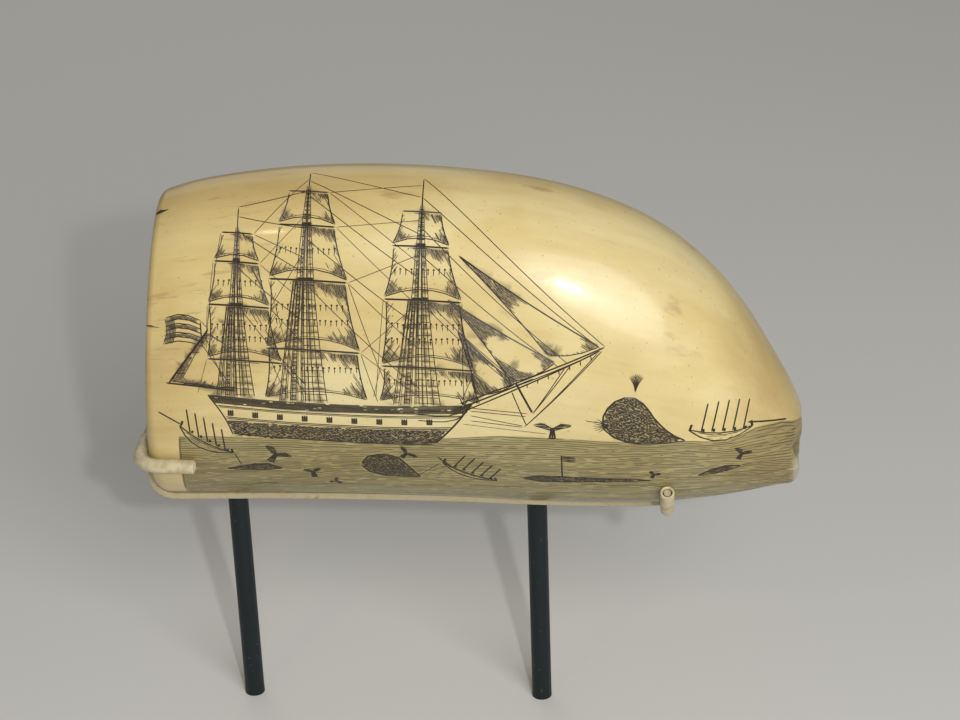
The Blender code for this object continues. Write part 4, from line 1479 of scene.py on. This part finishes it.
# The posts: two steel rods that carry the strip, painted a blackish blue, with a fillet of paint where each
# meets the strip and a narrow bevel at the top. Their feet are cut flat.
POST_SIDES = 48
BLACK_PAINT = (0.007, 0.012, 0.015)
post_paint, shader, start = make_material("blackened_rod", BLACK_PAINT, 0.42, Specular_IOR_Level=0.3)
place = start.node("ShaderNodeTexCoord", {}, {}, 3)
turning = place.stretched((1, 1, 40)).noise(60, 3, 0.6)
scuffs = place.noise(700, 4, 0.7)
colour = scuffs.step(0.62, 0.75).mix(BLACK_PAINT, (0.06, 0.07, 0.075))
drive(
    shader,
    Base_Color=colour,
    Roughness=0.34 + scuffs * 0.25,
    Normal=(turning * 0.6 + scuffs * 0.4).bump(0.22, 0.0001),
)
for name in ("post_left", "post_right"):
    low, high = (np.array(corner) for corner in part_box(name))
    radius = (high[0] - low[0]) / 2
    middle = (low + high) / 2
    top_levels = high[2] - np.array((0.0014, 0.0008, 0.0003, 0))
    levels = np.concatenate([np.linspace(0, high[2] - 0.0022, 24), top_levels])
    radii = np.full(len(levels), radius * 0.985)
    radii[0] = radius
    radii[-3:] = radius * np.array((0.99, 1.0, 0.985))
    turns = np.arange(POST_SIDES) * 2 * math.pi / POST_SIDES
    circle = np.stack([np.cos(turns), np.sin(turns), np.zeros(POST_SIDES)], axis=1)
    post_rings = [circle * r + (middle[0], middle[1], z) for z, r in zip(levels, radii)]
    post = add_piece(name + "_rod", lofted(post_rings), 40)
    post.data.materials.append(post_paint)
    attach(post, "root")
    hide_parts(name)

# The setting: a plain pale floor under a soft studio light, and a camera that looks down on the picture.
FLOOR_HALF = 3.0
floor_corners = [(x * FLOOR_HALF, y * FLOOR_HALF, 0) for x, y in ((-1, -1), (1, -1), (1, 1), (-1, 1))]
floor_mesh = bpy.data.meshes.new("floor")
floor_mesh.from_pydata(floor_corners, [], [(0, 1, 2, 3)])
floor = bpy.data.objects.new("floor", floor_mesh)
bpy.context.scene.collection.objects.link(floor)
floor_paper, _, _ = make_material("pale_paper", (0.68, 0.68, 0.67), 0.85)
floor_mesh.materials.append(floor_paper)


def add_light(name, place, aim, size, watts, colour=(1, 1, 1)):
    lamp = bpy.data.lights.new(name, "AREA")
    lamp.shape = "DISK"
    lamp.size = size
    lamp.energy = watts
    lamp.color = colour
    made = bpy.data.objects.new(name, lamp)
    made.location = place
    made.rotation_euler = (Vector(aim) - Vector(place)).to_track_quat("-Z", "Y").to_euler()
    bpy.context.scene.collection.objects.link(made)


AIM = Vector((0.02, 0, 0.09))
add_light("key", (0.155, -0.58, 0.41), AIM, 0.02, 1.3, (1.0, 0.98, 0.93))
add_light("glint", (-0.20, -0.443, 0.507), AIM, 0.025, 0.10, (1.0, 0.78, 0.5))
add_light("fill", (0.42, -0.85, 0.62), AIM, 0.75, 7.6, (1.0, 0.985, 0.95))
add_light("back", (-0.3, 0.8, 0.7), AIM, 0.8, 1.3, (1.0, 0.95, 0.85))
world = bpy.data.worlds.new("studio")
world.use_nodes = True
world.node_tree.nodes["Background"].inputs["Color"].default_value = (1.0, 0.98, 0.95, 1)
world.node_tree.nodes["Background"].inputs["Strength"].default_value = 0.2
bpy.context.scene.world = world
bpy.context.scene.view_settings.view_transform = "Standard"

CAMERA_AZIMUTH, CAMERA_ELEVATION, CAMERA_ROLL = (math.radians(angle) for angle in (5.0, 27.0, -2.1))
CAMERA_TARGET = Vector((0.0231, 0, 0.0913))
CAMERA_DISTANCE = 0.568
camera_data = bpy.data.cameras.new("camera")
camera_data.sensor_width = 36
camera_data.lens = 93.75
camera_data.clip_start = 0.01
camera = bpy.data.objects.new("camera", camera_data)
back = Vector(
    (
        math.sin(CAMERA_AZIMUTH) * math.cos(CAMERA_ELEVATION),
        -math.cos(CAMERA_AZIMUTH) * math.cos(CAMERA_ELEVATION),
        math.sin(CAMERA_ELEVATION),
    )
)
camera.location = CAMERA_TARGET + back * CAMERA_DISTANCE
aimed = (-back).to_track_quat("-Z", "Y")
camera.rotation_mode = "QUATERNION"
camera.rotation_quaternion = aimed
camera.rotation_quaternion.rotate(Quaternion(back, CAMERA_ROLL))
bpy.context.scene.collection.objects.link(camera)
bpy.context.scene.camera = camera
